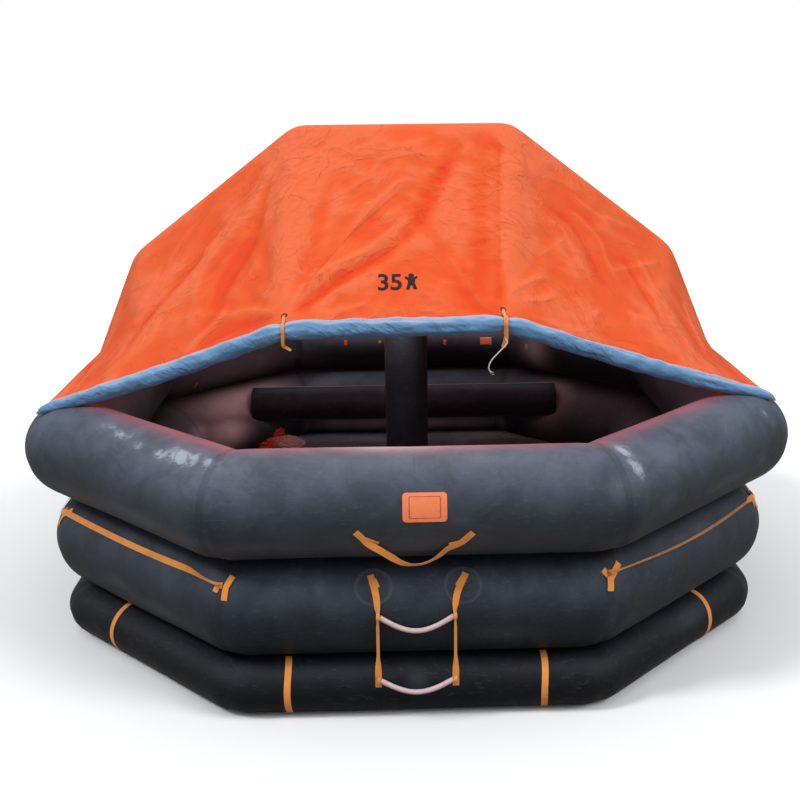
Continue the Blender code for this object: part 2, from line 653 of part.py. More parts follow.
def build():
    clear_scene()
    parts = collection(RAFT)
    cutters = collection("cutters")

    tube_cloth = material("dark_tube_fabric", (0.055, 0.065, 0.078), 0.55)
    canopy_cloth = material("orange_canopy_fabric", (0.93, 0.17, 0.045), 0.7)
    lining_cloth = material("blue_lining_fabric", (0.14, 0.33, 0.55), 0.65)
    webbing = material("orange_webbing", (0.86, 0.33, 0.05), 0.75)
    rung_plastic = material("pale_rung_tube", (0.78, 0.62, 0.62), 0.5)
    label_cloth = material("orange_label_panel", (0.95, 0.24, 0.08), 0.5)
    white_cord = material("white_cord", (0.80, 0.80, 0.78), 0.8)

    for name, tube in (("upper", UPPER), ("middle", MIDDLE), ("lower", LOWER)):
        tube_ring("buoyancy_tube_" + name, tube, parts, tube_cloth)
    upper_seat, middle_seat, lower_seat = (
        make_cutter(tube_ring(name + "_seat", tube, cutters, grow=GAP))
        for name, tube in (("upper", UPPER), ("middle", MIDDLE), ("lower", LOWER))
    )
    arch_seat = make_cutter(arch_tube("arch_seat", cutters, grow=GAP))

    cut(arch_tube("arch_tube", parts, tube_cloth), upper_seat)
    arch_underside = ARCH_TOP[1] - GAP - 2 * ARCH_RADIUS * ARCH_FLAT
    foot, head = (0, 0, FLOOR_TOP + GAP), (0, 0, arch_underside + PILLAR_OVERLAP)
    cut(cylinder("centre_pillar", PILLAR_RADIUS, foot, head, parts, tube_cloth), arch_seat)
    for label, sign in (("front", -1), ("rear", 1)):
        y = sign * THWART_Y
        start, end = (-THWART_HALF, y, THWART_Z), (THWART_HALF, y, THWART_Z)
        thwart = cylinder("thwart_" + label, THWART_RADIUS, start, end, parts, tube_cloth, THWART_FACETS)
        cut(thwart, upper_seat, middle_seat)
    floor_mattress(parts, tube_cloth, middle_seat)

    canopy = apply_modifiers(
        grid_sheet("canopy_front", canopy_half_rows(), CANOPY_THICKNESS, parts, canopy_cloth)
    )
    copy_turned(canopy, "canopy_rear", HALF_TURN)
    centres, radii = roll_path()
    roll = cord_tube("curtain_roll_front", centres, ROLL_RADIUS, parts, lining_cloth, 4, radii)
    roll = apply_modifiers(cut(as_mesh_object(roll), upper_seat))
    copy_turned(roll, "curtain_roll_rear", HALF_TURN)
    tie_straps(parts, webbing)
    tie_cord(parts, white_cord)

    label_plate(parts, label_cloth, upper_seat)
    grab_strap(parts, webbing, upper_seat)
    boarding_ladder(parts, webbing, rung_plastic, middle_seat)
    side_names = ("front", "front_right", "right", "rear_right", "rear", "rear_left", "left", "front_left")
    for side, label in enumerate(side_names):
        corner_patch("corner_patch_" + str(side + 1), side, parts, webbing, middle_seat)
        if label not in ("front", "rear"):
            lifeline("lifeline_" + label, side, parts, webbing, middle_seat)
        if label in ("front", "rear"):
            for number, along in ((1, -LOWER_STRAP_FRONT), (2, LOWER_STRAP_FRONT)):
                lower_strap(f"lower_strap_{label}_{number}", side, along, parts, webbing, lower_seat)
        elif side % 2:
            along = LOWER_STRAP_DIAGONAL if side in (1, 5) else -LOWER_STRAP_DIAGONAL
            lower_strap("lower_strap_" + label, side, along, parts, webbing, lower_seat)


build()
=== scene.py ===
from functools import reduce
from math import cos, degrees, pi, radians, sin, sqrt, tan

import bmesh
import bpy
import numpy as np
from mathutils import Matrix, Vector
from mathutils.bvhtree import BVHTree
from numpy import array, linspace, stack
from numpy.linalg import norm


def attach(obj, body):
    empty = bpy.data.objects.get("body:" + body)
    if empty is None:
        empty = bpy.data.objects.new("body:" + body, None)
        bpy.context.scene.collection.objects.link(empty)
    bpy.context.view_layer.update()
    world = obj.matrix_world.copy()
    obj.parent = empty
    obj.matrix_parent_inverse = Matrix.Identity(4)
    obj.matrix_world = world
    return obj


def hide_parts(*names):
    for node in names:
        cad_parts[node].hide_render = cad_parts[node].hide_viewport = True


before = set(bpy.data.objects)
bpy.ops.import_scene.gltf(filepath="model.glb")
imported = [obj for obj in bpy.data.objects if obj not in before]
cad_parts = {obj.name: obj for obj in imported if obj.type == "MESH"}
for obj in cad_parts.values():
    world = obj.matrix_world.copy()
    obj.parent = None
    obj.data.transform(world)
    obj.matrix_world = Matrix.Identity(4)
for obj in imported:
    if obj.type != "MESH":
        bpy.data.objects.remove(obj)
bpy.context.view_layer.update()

# Sizes shared by all pieces, in metres, as the CAD model has them
raft = dict(upperRadius=0.32, middleRadius=0.36, lowerRadius=0.18, acrossHalf=2.26, sideHalf=1.088,
            facets=24, lean=radians(15.0), gap=0.0003, roundness=0.996)

turn = radians(45.0)
mitre = 1.0 / cos(turn / 2)
flat = cos(pi / raft["facets"])
upperToMiddle = (raft["upperRadius"] + raft["middleRadius"]) * flat + raft["gap"]
middleToLower = (raft["middleRadius"] + raft["lowerRadius"]) * flat + raft["gap"]
lowerZ = raft["lowerRadius"] * flat
middleZ = lowerZ + middleToLower * cos(raft["lean"])
upperZ = middleZ + upperToMiddle * cos(raft["lean"])
middleHalf = raft["acrossHalf"] - upperToMiddle * sin(raft["lean"])
lowerHalf = middleHalf + middleToLower * sin(raft["lean"])
# each tube: radius, half width across flats, height
upperTube = (raft["upperRadius"], raft["acrossHalf"], upperZ)
middleTube = (raft["middleRadius"], middleHalf, middleZ)
lowerTube = (raft["lowerRadius"], lowerHalf, lowerZ)
gap, acrossHalf, roundness = raft["gap"], raft["acrossHalf"], raft["roundness"]
scene = bpy.context.scene


# Small tools

def unit(v):
    return v / np.maximum(norm(v, axis=-1, keepdims=True), 1e-12)


def ease(x, low, high):
    t = np.clip((np.asarray(x, float) - low) / (high - low), 0, 1)
    return t * t * (3 - 2 * t)


def bell(x, width):
    return np.exp(-(x / width) ** 2)


def lumps(points, size, seed):
    # smooth random values between -1 and 1, on a lattice of the given cell size
    lattice = np.random.default_rng(seed).uniform(-1, 1, (24, 24, 24))
    p = np.asarray(points, float) / size + 100.0
    cell = np.floor(p).astype(int)
    f = p - cell
    f = f * f * (3 - 2 * f)
    total = np.zeros(p.shape[:-1])
    for corner in np.ndindex(2, 2, 2):
        near = np.where(corner, f, 1 - f)
        x, y, z = np.moveaxis((cell + corner) % 24, -1, 0)
        total += near[..., 0] * near[..., 1] * near[..., 2] * lattice[x, y, z]
    return total


def smoothPath(points, steps):
    knots = [array(p, float) for p in points]
    knots = [knots[0] * 2 - knots[1], *knots, knots[-1] * 2 - knots[-2]]
    made = []
    for a, b, c, d in zip(knots, knots[1:], knots[2:], knots[3:]):
        for step in range(steps):
            t = step / steps
            made.append(0.5 * (2 * b + (c - a) * t + (2 * a - 5 * b + 4 * c - d) * t * t
                               + (3 * b - 3 * c + d - a) * t * t * t))
    made.append(knots[-2])
    return array(made)


def lengths(path):
    return np.concatenate([[0.0], np.cumsum(norm(np.diff(path, axis=0), axis=1))])


def circle(count):
    return np.arange(count) / count * 2 * pi


def blur(values):
    # in place along the first axis; the two ends stay
    values[1:-1] = values[1:-1] * 0.5 + (values[:-2] + values[2:]) * 0.25


def meshFromGrid(grid, closeRows=False, closeColumns=False, uv=None, caps=False):
    rows, columns = grid.shape[:2]
    r, c = np.indices((rows - (not closeRows), columns - (not closeColumns))).reshape(2, -1, 1)
    r, c = r + (0, 0, 1, 1), c + (0, 1, 1, 0)
    polygons = (r % rows * columns + c % columns).tolist()
    if caps:
        polygons += [list(range(columns))[::-1], list(range((rows - 1) * columns, rows * columns))]
    mesh = bpy.data.meshes.new("grid")
    mesh.from_pydata(grid.reshape(-1, 3).tolist(), [], polygons)
    layer = mesh.uv_layers.new(name="fabric")
    u, v = uv if uv is not None else (np.arange(rows + 1.0), np.arange(columns + 1.0))
    flatUv = np.zeros((len(mesh.loops), 2))
    flatUv[:r.size] = stack([u[r], v[c]], 2).reshape(-1, 2)
    layer.data.foreach_set("uv", flatUv.ravel())
    mesh.shade_smooth()
    return mesh


def faceOutward(mesh):
    bm = bmesh.new()
    bm.from_mesh(mesh)
    if bm.calc_volume(signed=True) < 0:
        mesh.flip_normals()
    bm.free()
    return mesh


def faceTo(mesh, direction):
    # turns an open sheet over if it faces away from the direction
    if sum(p.normal.dot(direction) for p in mesh.polygons) < 0:
        mesh.flip_normals()
    return mesh


def treeFromMesh(mesh):
    return BVHTree.FromPolygons([v.co for v in mesh.vertices], [p.vertices for p in mesh.polygons])


def addValues(mesh, name, values):
    layer = mesh.attributes.new(name, "FLOAT", "POINT")
    layer.data.foreach_set("value", np.asarray(values, np.float32).ravel())


def addObject(name, data):
    made = bpy.data.objects.new(name, data)
    scene.collection.objects.link(made)
    return made


def addPiece(name, mesh, *finishes):
    mesh.name = name
    mesh.materials.clear()
    for finish in finishes:
        mesh.materials.append(finish)
    return addObject(name, mesh)


def applied(piece):
    graph = bpy.context.evaluated_depsgraph_get()
    mesh = bpy.data.meshes.new_from_object(piece.evaluated_get(graph))
    piece.modifiers.clear()
    piece.data = mesh
    mesh.name = piece.name
    return piece


def ready(piece, slot, *nodes):
    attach(piece, "root")
    if nodes:
        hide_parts(*nodes)
    return piece


def thicken(piece, thickness, offset):
    shell = piece.modifiers.new("thickness", "SOLIDIFY")
    shell.thickness, shell.offset = thickness, offset
    return shell


def put(name, mesh, finish, slot, *nodes):
    return ready(addPiece(name, mesh, finish), slot, *nodes)


def turnedMesh(mesh):
    other = mesh.copy()
    other.transform(Matrix.Rotation(pi, 4, "Z"))
    return other


def rearCopy(piece, name, slot, *nodes):
    return put(name, turnedMesh(piece.data), piece.data.materials[0], slot, *nodes)


def merged(name, meshes):
    bm = bmesh.new()
    for mesh in meshes:
        bm.from_mesh(mesh)
    whole = bpy.data.meshes.new(name)
    bm.to_mesh(whole)
    bm.free()
    whole.shade_smooth()
    return whole


# Places on the tubes

def sideLengthHalf(half):
    return raft["sideHalf"] - (acrossHalf - half) * tan(turn / 2)


def cornerPoints(half):
    s = sideLengthHalf(half)
    return [(s, -half), (half, -s), (half, s), (s, half), (-s, half), (-half, s), (-half, -s), (-s, -half)]


def sideAxes(side):
    # the directions outward and ahead along a side
    heading = -pi / 2 + turn * side
    out = array([cos(heading), sin(heading), 0.0])
    return out, array([-out[1], out[0], 0.0])


def onTube(tube, side, along, angle, standOff=0.0):
    radius, half, height = tube
    out, ahead = sideAxes(side)
    lateral = half if side % 2 == 0 else (half + sideLengthHalf(half)) * cos(turn)
    reach = radius * roundness + standOff
    lean = radians(angle)
    return out * (lateral + reach * sin(lean)) + ahead * along + array([0, 0, height + reach * cos(lean)])


def sideReach(tube, side, angle):
    radius, half, _ = tube
    straight = sideLengthHalf(half)
    base = straight if side % 2 == 0 else (half - straight) / sqrt(2)
    return base + radius * sin(radians(angle)) * tan(turn / 2)


# Node trees: filling, sums, noise and colours

def fill(node, feeds):
    for key, value in feeds.items():
        socket = node.inputs[key]
        if isinstance(value, bpy.types.NodeSocket):
            node.id_data.links.new(value, socket)
        else:
            socket.default_value = (*value, 1.0) if socket.type == "RGBA" else value
    return node


def addNode(tree, kind, feeds=None, **settings):
    made = tree.nodes.new(kind if kind.startswith(("Geometry", "Function")) else "ShaderNode" + kind)
    for key, value in settings.items():
        setattr(made, key, value)
    return fill(made, feeds or {})


def outputOf(tree, kind, feeds=None, **settings):
    return addNode(tree, kind, feeds, **settings).outputs[0]


def treeOf(*values):
    # the node tree of the first socket among the values
    return next(v.id_data for v in values if isinstance(v, bpy.types.NodeSocket))


def calc(operation, a, b=0.0, clamp=False):
    return outputOf(treeOf(a, b), "Math", {0: a, 1: b}, operation=operation, use_clamp=clamp)


def times(a, b):
    return calc("MULTIPLY", a, b)


def plus(a, b, clamp=False):
    return calc("ADD", a, b, clamp)


def minus(a, b):
    return calc("SUBTRACT", a, b)


def linear(x, slope, base):
    return plus(times(x, slope), base)


def mixColours(factor, a, b):
    feeds = {0: factor, 6: a, 7: b}
    return addNode(treeOf(factor, a, b), "Mix", feeds, data_type="RGBA").outputs[2]


def band(value, low, high):
    feeds = {"Value": value, "From Min": low, "From Max": high, "To Min": 0.0, "To Max": 1.0}
    return outputOf(value.id_data, "MapRange", feeds, interpolation_type="SMOOTHSTEP")


def noise(vector, scale, detail=3.0, roughness=0.5, distortion=0.0):
    feeds = {"Vector": vector, "Scale": scale, "Detail": detail, "Roughness": roughness,
             "Distortion": distortion}
    return addNode(vector.id_data, "TexNoise", feeds).outputs["Fac"]


def axisOf(vector, axis):
    return addNode(vector.id_data, "SeparateXYZ", {0: vector}).outputs[axis]


def upward(vector):
    # how far the surface faces up, in the tree that the vector is in
    return axisOf(addNode(vector.id_data, "NewGeometry").outputs["Normal"], "Z")


def pointValue(vector, name):
    return addNode(vector.id_data, "Attribute", attribute_name=name).outputs["Fac"]


def feed(socket, value):
    socket.id_data.links.new(value, socket)


# Camera and light

view = dict(focal=1174.8, pitch=0.26895, yaw=0.02945, roll=-0.01015, place=(-0.13782, -8.69817, 3.74872),
            picture=800, sensor=36.0, shift=(-22, -3))


def addCamera():
    pitch, yaw, roll = view["pitch"], view["yaw"], view["roll"]
    forward = Vector((sin(yaw) * cos(pitch), cos(yaw) * cos(pitch), -sin(pitch)))
    right = Vector((cos(yaw), -sin(yaw), 0))
    up = right.cross(forward)
    across = cos(roll) * right + sin(roll) * up
    rise = -sin(roll) * right + cos(roll) * up
    lens = bpy.data.cameras.new("photo_camera")
    lens.sensor_width = view["sensor"]
    lens.lens = view["sensor"] * view["focal"] / view["picture"]
    lens.shift_x, lens.shift_y = (s / view["picture"] for s in view["shift"])
    place = Matrix((across, rise, -forward)).transposed().to_4x4()
    place.translation = Vector(view["place"])
    scene.camera = addObject("photo_camera", lens)
    scene.camera.matrix_world = place


light = dict(skyColour=(0.93, 0.96, 1.0), skyTop=0.92, skyLow=0.12, backdrop=1.0,
             groundSeen=(0.99, 0.99, 0.99), groundBounce=(0.34, 0.31, 0.285),
             suns=[("left_key", 1.33, radians(12), (-4.8, -2.2, 5.6)),
                   ("right_fill", 1.15, radians(25), (5.2, -3.0, 5.0))],
             glow=dict(energy=34.0, shadow_soft_size=0.3, color=(1.0, 0.82, 0.8)),
             glowPlace=(-0.1, -0.2, 2.1), groundHalf=60)


def addLamp(name, kind, **values):
    lamp = bpy.data.lights.new(name, kind)
    for key, value in values.items():
        setattr(lamp, key, value)
    return addObject(name, lamp)


def addStudio():
    scene.world = bpy.data.worlds.new("studio")
    scene.world.use_nodes = True
    tree = scene.world.node_tree
    tree.nodes.clear()
    height = axisOf(addNode(tree, "TexCoord").outputs["Generated"], "Z")
    feeds = {"Value": height, "From Min": 0.0, "From Max": 0.9, "To Min": light["skyLow"],
             "To Max": light["skyTop"]}
    ramp = outputOf(tree, "MapRange", feeds)
    sky = outputOf(tree, "Background", {"Color": light["skyColour"], "Strength": ramp})
    plain = outputOf(tree, "Background", {"Color": (1, 1, 1), "Strength": light["backdrop"]})
    seen = addNode(tree, "LightPath").outputs["Is Camera Ray"]
    both = outputOf(tree, "MixShader", {0: seen, 1: sky, 2: plain})
    addNode(tree, "OutputWorld", {"Surface": both})
    for name, power, angle, source in light["suns"]:
        lamp = addLamp(name, "SUN", energy=power, angle=angle)
        lamp.rotation_euler = (-Vector(source)).to_track_quat("-Z", "Y").to_euler()
    # daylight that comes through the cloth
    addLamp("canopy_glow", "POINT", **light["glow"]).location = light["glowPlace"]
    half = light["groundHalf"]
    ground = bpy.data.meshes.new("ground")
    ground.from_pydata([(-half, -half, 0), (half, -half, 0), (half, half, 0), (-half, half, 0)], [],
                       [(0, 1, 2, 3)])
    finish = bpy.data.materials.new("pale_floor")
    finish.use_nodes = True
    seen = addNode(finish.node_tree, "LightPath").outputs["Is Camera Ray"]
    tone = mixColours(seen, light["groundBounce"], light["groundSeen"])
    fill(finish.node_tree.nodes["Principled BSDF"], {"Base Color": tone, "Roughness": 0.9})
    addPiece("ground", ground, finish)
    scene.view_settings.view_transform = "Standard"


addCamera()
addStudio()
print("camera and studio ready")


# Shader groups used by several finishes

def newGroup(name, kind, inputs, outputs):
    # inputs as (name, kind of socket, value if it has one), outputs as (name, kind of socket)
    tree = bpy.data.node_groups.new(name, kind)
    for label, socketKind, *value in inputs:
        socket = tree.interface.new_socket(label, in_out="INPUT", socket_type="NodeSocket" + socketKind)
        if value:
            socket.default_value = value[0]
    for label, socketKind in outputs:
        tree.interface.new_socket(label, in_out="OUTPUT", socket_type="NodeSocket" + socketKind)
    return tree, tree.nodes.new("NodeGroupInput").outputs, tree.nodes.new("NodeGroupOutput").inputs


def makeWeaveGroup():
    tree, given, result = newGroup(
        "plain_weave", "ShaderNodeTree",
        [("Vector", "Vector"), ("Threads per metre", "Float", 500.0), ("Unevenness", "Float", 0.3)],
        [("Height", "Float"), ("Tone", "Float")])
    waves = [calc("SINE", times(times(axisOf(given["Vector"], axis), given["Threads per metre"]), pi))
             for axis in ("X", "Y")]
    over = times(*waves)
    uneven = times(noise(given["Vector"], 60.0, 2.0), given["Unevenness"])
    feed(result["Height"], plus(times(over, 0.5), uneven))
    feed(result["Tone"], linear(over, 0.25, 0.5))
    return tree


def makeWearGroup():
    # blotches of dust, and thin rub marks
    tree, given, result = newGroup(
        "wear", "ShaderNodeTree",
        [("Vector", "Vector"), ("Blotch scale", "Float", 3.0), ("Rub scale", "Float", 30.0)],
        [("Blotches", "Float"), ("Rubs", "Float")])
    feed(result["Blotches"], band(noise(given["Vector"], given["Blotch scale"], 5.0, 0.6, 0.4), 0.42, 0.72))
    feeds = {"Vector": given["Vector"], "Scale": (1.0, 1.0, 4.0), "Rotation": (0.5, 0.3, 0.0)}
    stretched = outputOf(tree, "Mapping", feeds)
    feed(result["Rubs"], band(noise(stretched, given["Rub scale"], 4.0, 0.65, 1.2), 0.56, 0.7))
    return tree


# cells as (scale, share), thin wrinkles as (scale, share, half width)
crinkle = dict(cells=((1.0, 1.0), (2.3, 0.6), (5.3, 0.3)), warpScale=1.6, warp=0.35,
               wrinkles=((0.75, 0.165, 0.026), (1.7, 0.115, 0.032)),
               patches=(1.9, 2.0), patchEdge=(0.36, 0.62), calm=0.25)


def makeCrinkleGroup():
    # the sharp creases of a coated cloth that was folded up, drawn out along one direction
    tree, given, result = newGroup(
        "crinkle", "ShaderNodeTree",
        [("Vector", "Vector"), ("Scale", "Float", 6.0), ("Slant", "Float", 0.9), ("Stretch", "Float", 0.4),
         ("Mirror", "Float", 1.0)], [("Height", "Float")])
    spot = given["Vector"]
    parts = addNode(tree, "SeparateXYZ", {0: spot}).outputs
    x = outputOf(tree, "Mix", {0: given["Mirror"], 2: parts["X"], 3: calc("ABSOLUTE", parts["X"])},
                 data_type="FLOAT")
    feeds = {"Vector": spot, "Scale": crinkle["warpScale"], "Detail": 2.0}
    warp = addNode(tree, "TexNoise", feeds).outputs["Color"]
    warp = outputOf(tree, "VectorMath", {0: warp, "Scale": crinkle["warp"]}, operation="SCALE")
    flatOut = outputOf(tree, "CombineXYZ", {0: x, 1: parts["Z"], 2: parts["Y"]})
    flatOut = outputOf(tree, "VectorMath", {0: flatOut, 1: warp}, operation="ADD")
    slanted = outputOf(tree, "VectorRotate", {"Vector": flatOut, "Angle": given["Slant"]},
                       rotation_type="Z_AXIS")
    ratio = outputOf(tree, "CombineXYZ", {0: given["Stretch"], 1: 1.0, 2: 1.0})
    drawn = outputOf(tree, "VectorMath", {0: slanted, 1: ratio}, operation="MULTIPLY")
    cells = [times(addNode(tree, "TexVoronoi", {"Vector": drawn, "Scale": times(given["Scale"], scale)},
                           feature="F1").outputs["Distance"], share) for scale, share in crinkle["cells"]]
    patchy = band(noise(spot, *crinkle["patches"]), *crinkle["patchEdge"])
    height = times(reduce(plus, cells), linear(patchy, 1 - crinkle["calm"], crinkle["calm"]))
    # thin wrinkles, as the lines where a noise passes its middle value
    for scale, share, thin in crinkle["wrinkles"]:
        field = noise(drawn, times(given["Scale"], scale), 2.0, 0.45, 0.5)
        line = band(calc("ABSOLUTE", minus(field, 0.5)), thin, 0.0)
        where = band(noise(spot, 2.6 * scale, 1.0, 0.5, 0.3), 0.46, 0.6)
        height = plus(height, times(times(line, where), share))
    feed(result["Height"], height)
    return tree


weaveGroup = makeWeaveGroup()
wearGroup = makeWearGroup()
crinkleGroup = makeCrinkleGroup()


def spaced(values):
    return {key.replace("_", " "): value for key, value in values.items()}


def useGroup(group, **feeds):
    return fill(addNode(treeOf(*feeds.values()), "Group", node_tree=group), spaced(feeds)).outputs


def newFinish(name, **values):
    # the material, its shader, and its Object and UV coordinates
    made = bpy.data.materials.new(name)
    made.use_nodes = True
    shader = fill(made.node_tree.nodes["Principled BSDF"], spaced(values))
    place = addNode(made.node_tree, "TexCoord").outputs
    return made, shader, place["Object"], place["UV"]


def bump(shader, height, distance, under=None):
    feeds = {"Height": height, "Distance": distance, "Strength": 1.0}
    made = outputOf(height.id_data, "Bump", {**feeds, "Normal": under} if under else feeds)
    feed(shader.inputs["Normal"], made)
    return made


# Finishes

# the tone on what faces up is dust with a painted sheen; the tones low down and in the crevices are painted
# shade; the pale bloom is painted light; the pink tone is painted reflection of the orange canopy
# each noise as (scale, detail, roughness, distortion)
tubeLook = dict(dark=(0.013, 0.017, 0.022), light=(0.024, 0.03, 0.039), chalk=(0.44, 0.48, 0.55),
                dustAndSheen=(0.104, 0.121, 0.163), paintedLight=(0.74, 0.68, 0.76), canopyReflection=(0.46, 0.115, 0.135),
                floorDust=(0.2, 0.185, 0.215), lowShade=(0.005, 0.006, 0.008), pressed=(0.004, 0.005, 0.006),
                tapeTone=(0.012, 0.014, 0.018), tape=0.026, tapeShare=0.22, dustAndSheenHeights=(0.13, 1.25),
                lowShadeHeights=(0.34, 0.53), chalkEdge=(0.4, 0.86), chalkBody=0.62, chalkVeil=0.16,
                mottle=(3.6, 7.0, 0.68, 0.9), cloud=(5.0, 4.0, 0.6, 0.5), flecks=(42.0, 9.0, 0.8, 0.7),
                patches=(13.0, 4.0, 0.6, 0.6), ragged=2.3, waves=(7.0, 3.0, 0.55), waveDepth=0.006,
                tapeDepth=0.0012, weaveDepth=0.00025)


def tubeFinish(name, dustAndSheenShare, dustAndSheenTone, sheen):
    look = tubeLook
    made, shader, spot, uv = newFinish(name, Sheen_Weight=sheen, Sheen_Roughness=0.4, Specular_IOR_Level=0.14)
    spots = useGroup(wearGroup, Vector=spot, Blotch_scale=1.7, Rub_scale=13.0)
    blotches, height = spots["Blotches"], axisOf(spot, "Z")
    chalk, seam, creviceDark, canopyReflection, paintedLight = (pointValue(spot, key) for key in
                                       ("chalk", "seamOffset", "creviceShade", "canopyReflection", "paintedLight"))
    base = mixColours(blotches, look["dark"], look["light"])
    # dust and a painted sheen lie on what faces up, and more of both on the higher tubes; less on the lower
    # tubes is painted shade
    dustAndSheen = times(band(upward(spot), -0.45, 1.0), linear(blotches, 0.25, 0.68))
    dustAndSheen = times(dustAndSheen, linear(band(height, *look["dustAndSheenHeights"]), 0.92, 0.08))
    dustAndSheen = times(dustAndSheen, linear(band(noise(spot, *look["mottle"]), 0.3, 0.66), 0.52, 0.66))
    dustAndSheen = times(times(dustAndSheen, dustAndSheenShare), minus(1.0, creviceDark))
    # painted shade: near black low down, where the lower tube lies in shade
    base = mixColours(band(height, *look["lowShadeHeights"]), look["lowShade"], base)
    base = mixColours(dustAndSheen, base, dustAndSheenTone)
    # painted reflection of the orange canopy on the inner top edge
    base = mixColours(times(canopyReflection, linear(blotches, 0.38, 0.62)), base, look["canopyReflection"])
    # painted shade in the crevices where the tubes touch
    base = mixColours(times(creviceDark, 0.8), base, look["pressed"])
    # painted light: pale patches where light falls on the tubes
    base = mixColours(times(paintedLight, linear(noise(spot, *look["cloud"]), 0.6, 0.55)), base, look["paintedLight"])
    # chalk has a ragged edge: it holds where the rub was hard and breaks into flecks around it
    feeds = {"Vector": spot, "Scale": (1.0, 1.0, 2.2), "Rotation": (0.0, 0.5, 0.3)}
    streaks = outputOf(spot.id_data, "Mapping", feeds)
    rough = plus(minus(noise(streaks, *look["flecks"]), 0.5), minus(noise(spot, *look["patches"]), 0.5))
    ragged = plus(chalk, times(times(rough, look["ragged"]), chalk))
    smear = plus(times(band(ragged, *look["chalkEdge"]), look["chalkBody"]), times(chalk, look["chalkVeil"]))
    smear = plus(smear, times(spots["Rubs"], 0.045), clamp=True)
    base = mixColours(smear, base, look["chalk"])
    overlap = calc("LESS_THAN", calc("ABSOLUTE", seam), look["tape"])
    feed(shader.inputs["Base Color"], mixColours(times(overlap, look["tapeShare"]), base, look["tapeTone"]))
    feed(shader.inputs["Roughness"], plus(linear(blotches, 0.12, 0.43), times(smear, 0.3)))
    weave = useGroup(weaveGroup, Vector=uv, Threads_per_metre=900.0, Unevenness=0.5)
    low = bump(shader, noise(spot, *look["waves"]), look["waveDepth"])
    tape = band(calc("ABSOLUTE", seam), look["tape"] + 0.002, look["tape"])
    bump(shader, weave["Height"], look["weaveDepth"], bump(shader, tape, look["tapeDepth"], low))
    return made


# outer and inner: deep tone (painted shade), base tone, and pale tone (painted highlight, also the worn rubs)
canopyLook = dict(outer=((0.78, 0.058, 0.008), (0.8, 0.1, 0.018), (0.84, 0.15, 0.05)),
                  inner=((0.55, 0.07, 0.02), (0.62, 0.09, 0.03), (0.68, 0.13, 0.05)),
                  glow=dict(Emission_Color=(0.95, 0.27, 0.2), Emission_Strength=0.2),
                  crease=5.2, creaseDepth=0.024, lineSets=6, lineWidth=0.008, lineDepth=0.005,
                  linedWidth=0.05, lineApart=0.12, veeShare=0.35, paintedShadeEdge=0.012, weaveDepth=0.0002)


def canopyFinish(name, tones, **values):
    # painted shade makes the colour deeper in the hollows, and painted highlight makes it paler on the ridges
    deep, base, pale = tones
    made, shader, spot, uv = newFinish(name, Specular_IOR_Level=0.16, **values)
    spots = useGroup(wearGroup, Vector=spot, Blotch_scale=1.1, Rub_scale=9.0)
    creases = useGroup(crinkleGroup, Vector=spot, Scale=canopyLook["crease"])["Height"]
    fade = noise(spot, 1.3, 3.0, 0.5, 0.3)
    # thin pressed lines: each set of them gives the distance to the nearest line and how strong it is there
    pressed = []
    for number in range(canopyLook["lineSets"]):
        away = calc("ABSOLUTE", pointValue(spot, f"line{number}"))
        fall = calc("EXPONENT", calc("DIVIDE", away, -canopyLook["lineWidth"]))
        pressed.append(times(pointValue(spot, f"press{number}"), fall))
    pressed = reduce(plus, pressed)
    # painted shade and highlight from the ridge value, with random tone from the fade
    level = plus(pointValue(spot, "ridge"), times(minus(fade, 0.5), 0.35))
    # painted shade in the crinkle's hollows, and painted light and shade beside the pressed lines
    level = plus(level, times(minus(creases, 0.38), 0.66))
    level = plus(level, times(pressed, 0.36))
    tone = mixColours(band(level, 0.0, 0.55), deep, base)
    tone = mixColours(band(level, 0.45, 1.05), tone, pale)
    feed(shader.inputs["Base Color"], mixColours(times(spots["Rubs"], 0.12), tone, pale))
    feed(shader.inputs["Roughness"], linear(fade, 0.2, 0.46))
    weave = useGroup(weaveGroup, Vector=uv, Threads_per_metre=1100.0, Unevenness=0.4)
    under = bump(shader, noise(spot, 5.0, 3.0, 0.5, 0.3), 0.004)
    under = bump(shader, pressed, canopyLook["lineDepth"], under)
    under = bump(shader, creases, canopyLook["creaseDepth"], under)
    bump(shader, weave["Height"], canopyLook["weaveDepth"], under)
    return made


liningLook = dict(base=(0.105, 0.26, 0.48), pale=(0.18, 0.36, 0.58), paintedTopLight=(0.44, 0.47, 0.58),
                  paintedTopLightFacing=(0.55, 0.99), paintedTopLightShare=0.8, creaseDepth=0.012, weaveDepth=0.0002)


def liningFinish():
    look = liningLook
    made, shader, spot, uv = newFinish("blue_lining_cloth", Sheen_Weight=0.2, Roughness=0.6)
    spots = useGroup(wearGroup, Vector=spot, Blotch_scale=6.0, Rub_scale=22.0)
    tone = mixColours(times(spots["Blotches"], 0.5), look["base"], look["pale"])
    # painted highlight: the roll is paler where it faces up
    paintedTopLight = times(band(upward(spot), *look["paintedTopLightFacing"]), look["paintedTopLightShare"])
    feed(shader.inputs["Base Color"], mixColours(paintedTopLight, tone, look["paintedTopLight"]))
    creases = useGroup(crinkleGroup, Vector=spot, Scale=16.0, Slant=0.55, Stretch=0.33, Mirror=0.0)
    weave = useGroup(weaveGroup, Vector=uv, Threads_per_metre=900.0, Unevenness=0.4)
    bump(shader, weave["Height"], look["weaveDepth"], bump(shader, creases["Height"], look["creaseDepth"]))
    return made


webbingLook = dict(base=(0.87, 0.235, 0.02), pale=(0.94, 0.4, 0.075), soil=(0.45, 0.16, 0.03), soilShare=0.35,
                   ribs=380.0, ribDepth=0.0009)


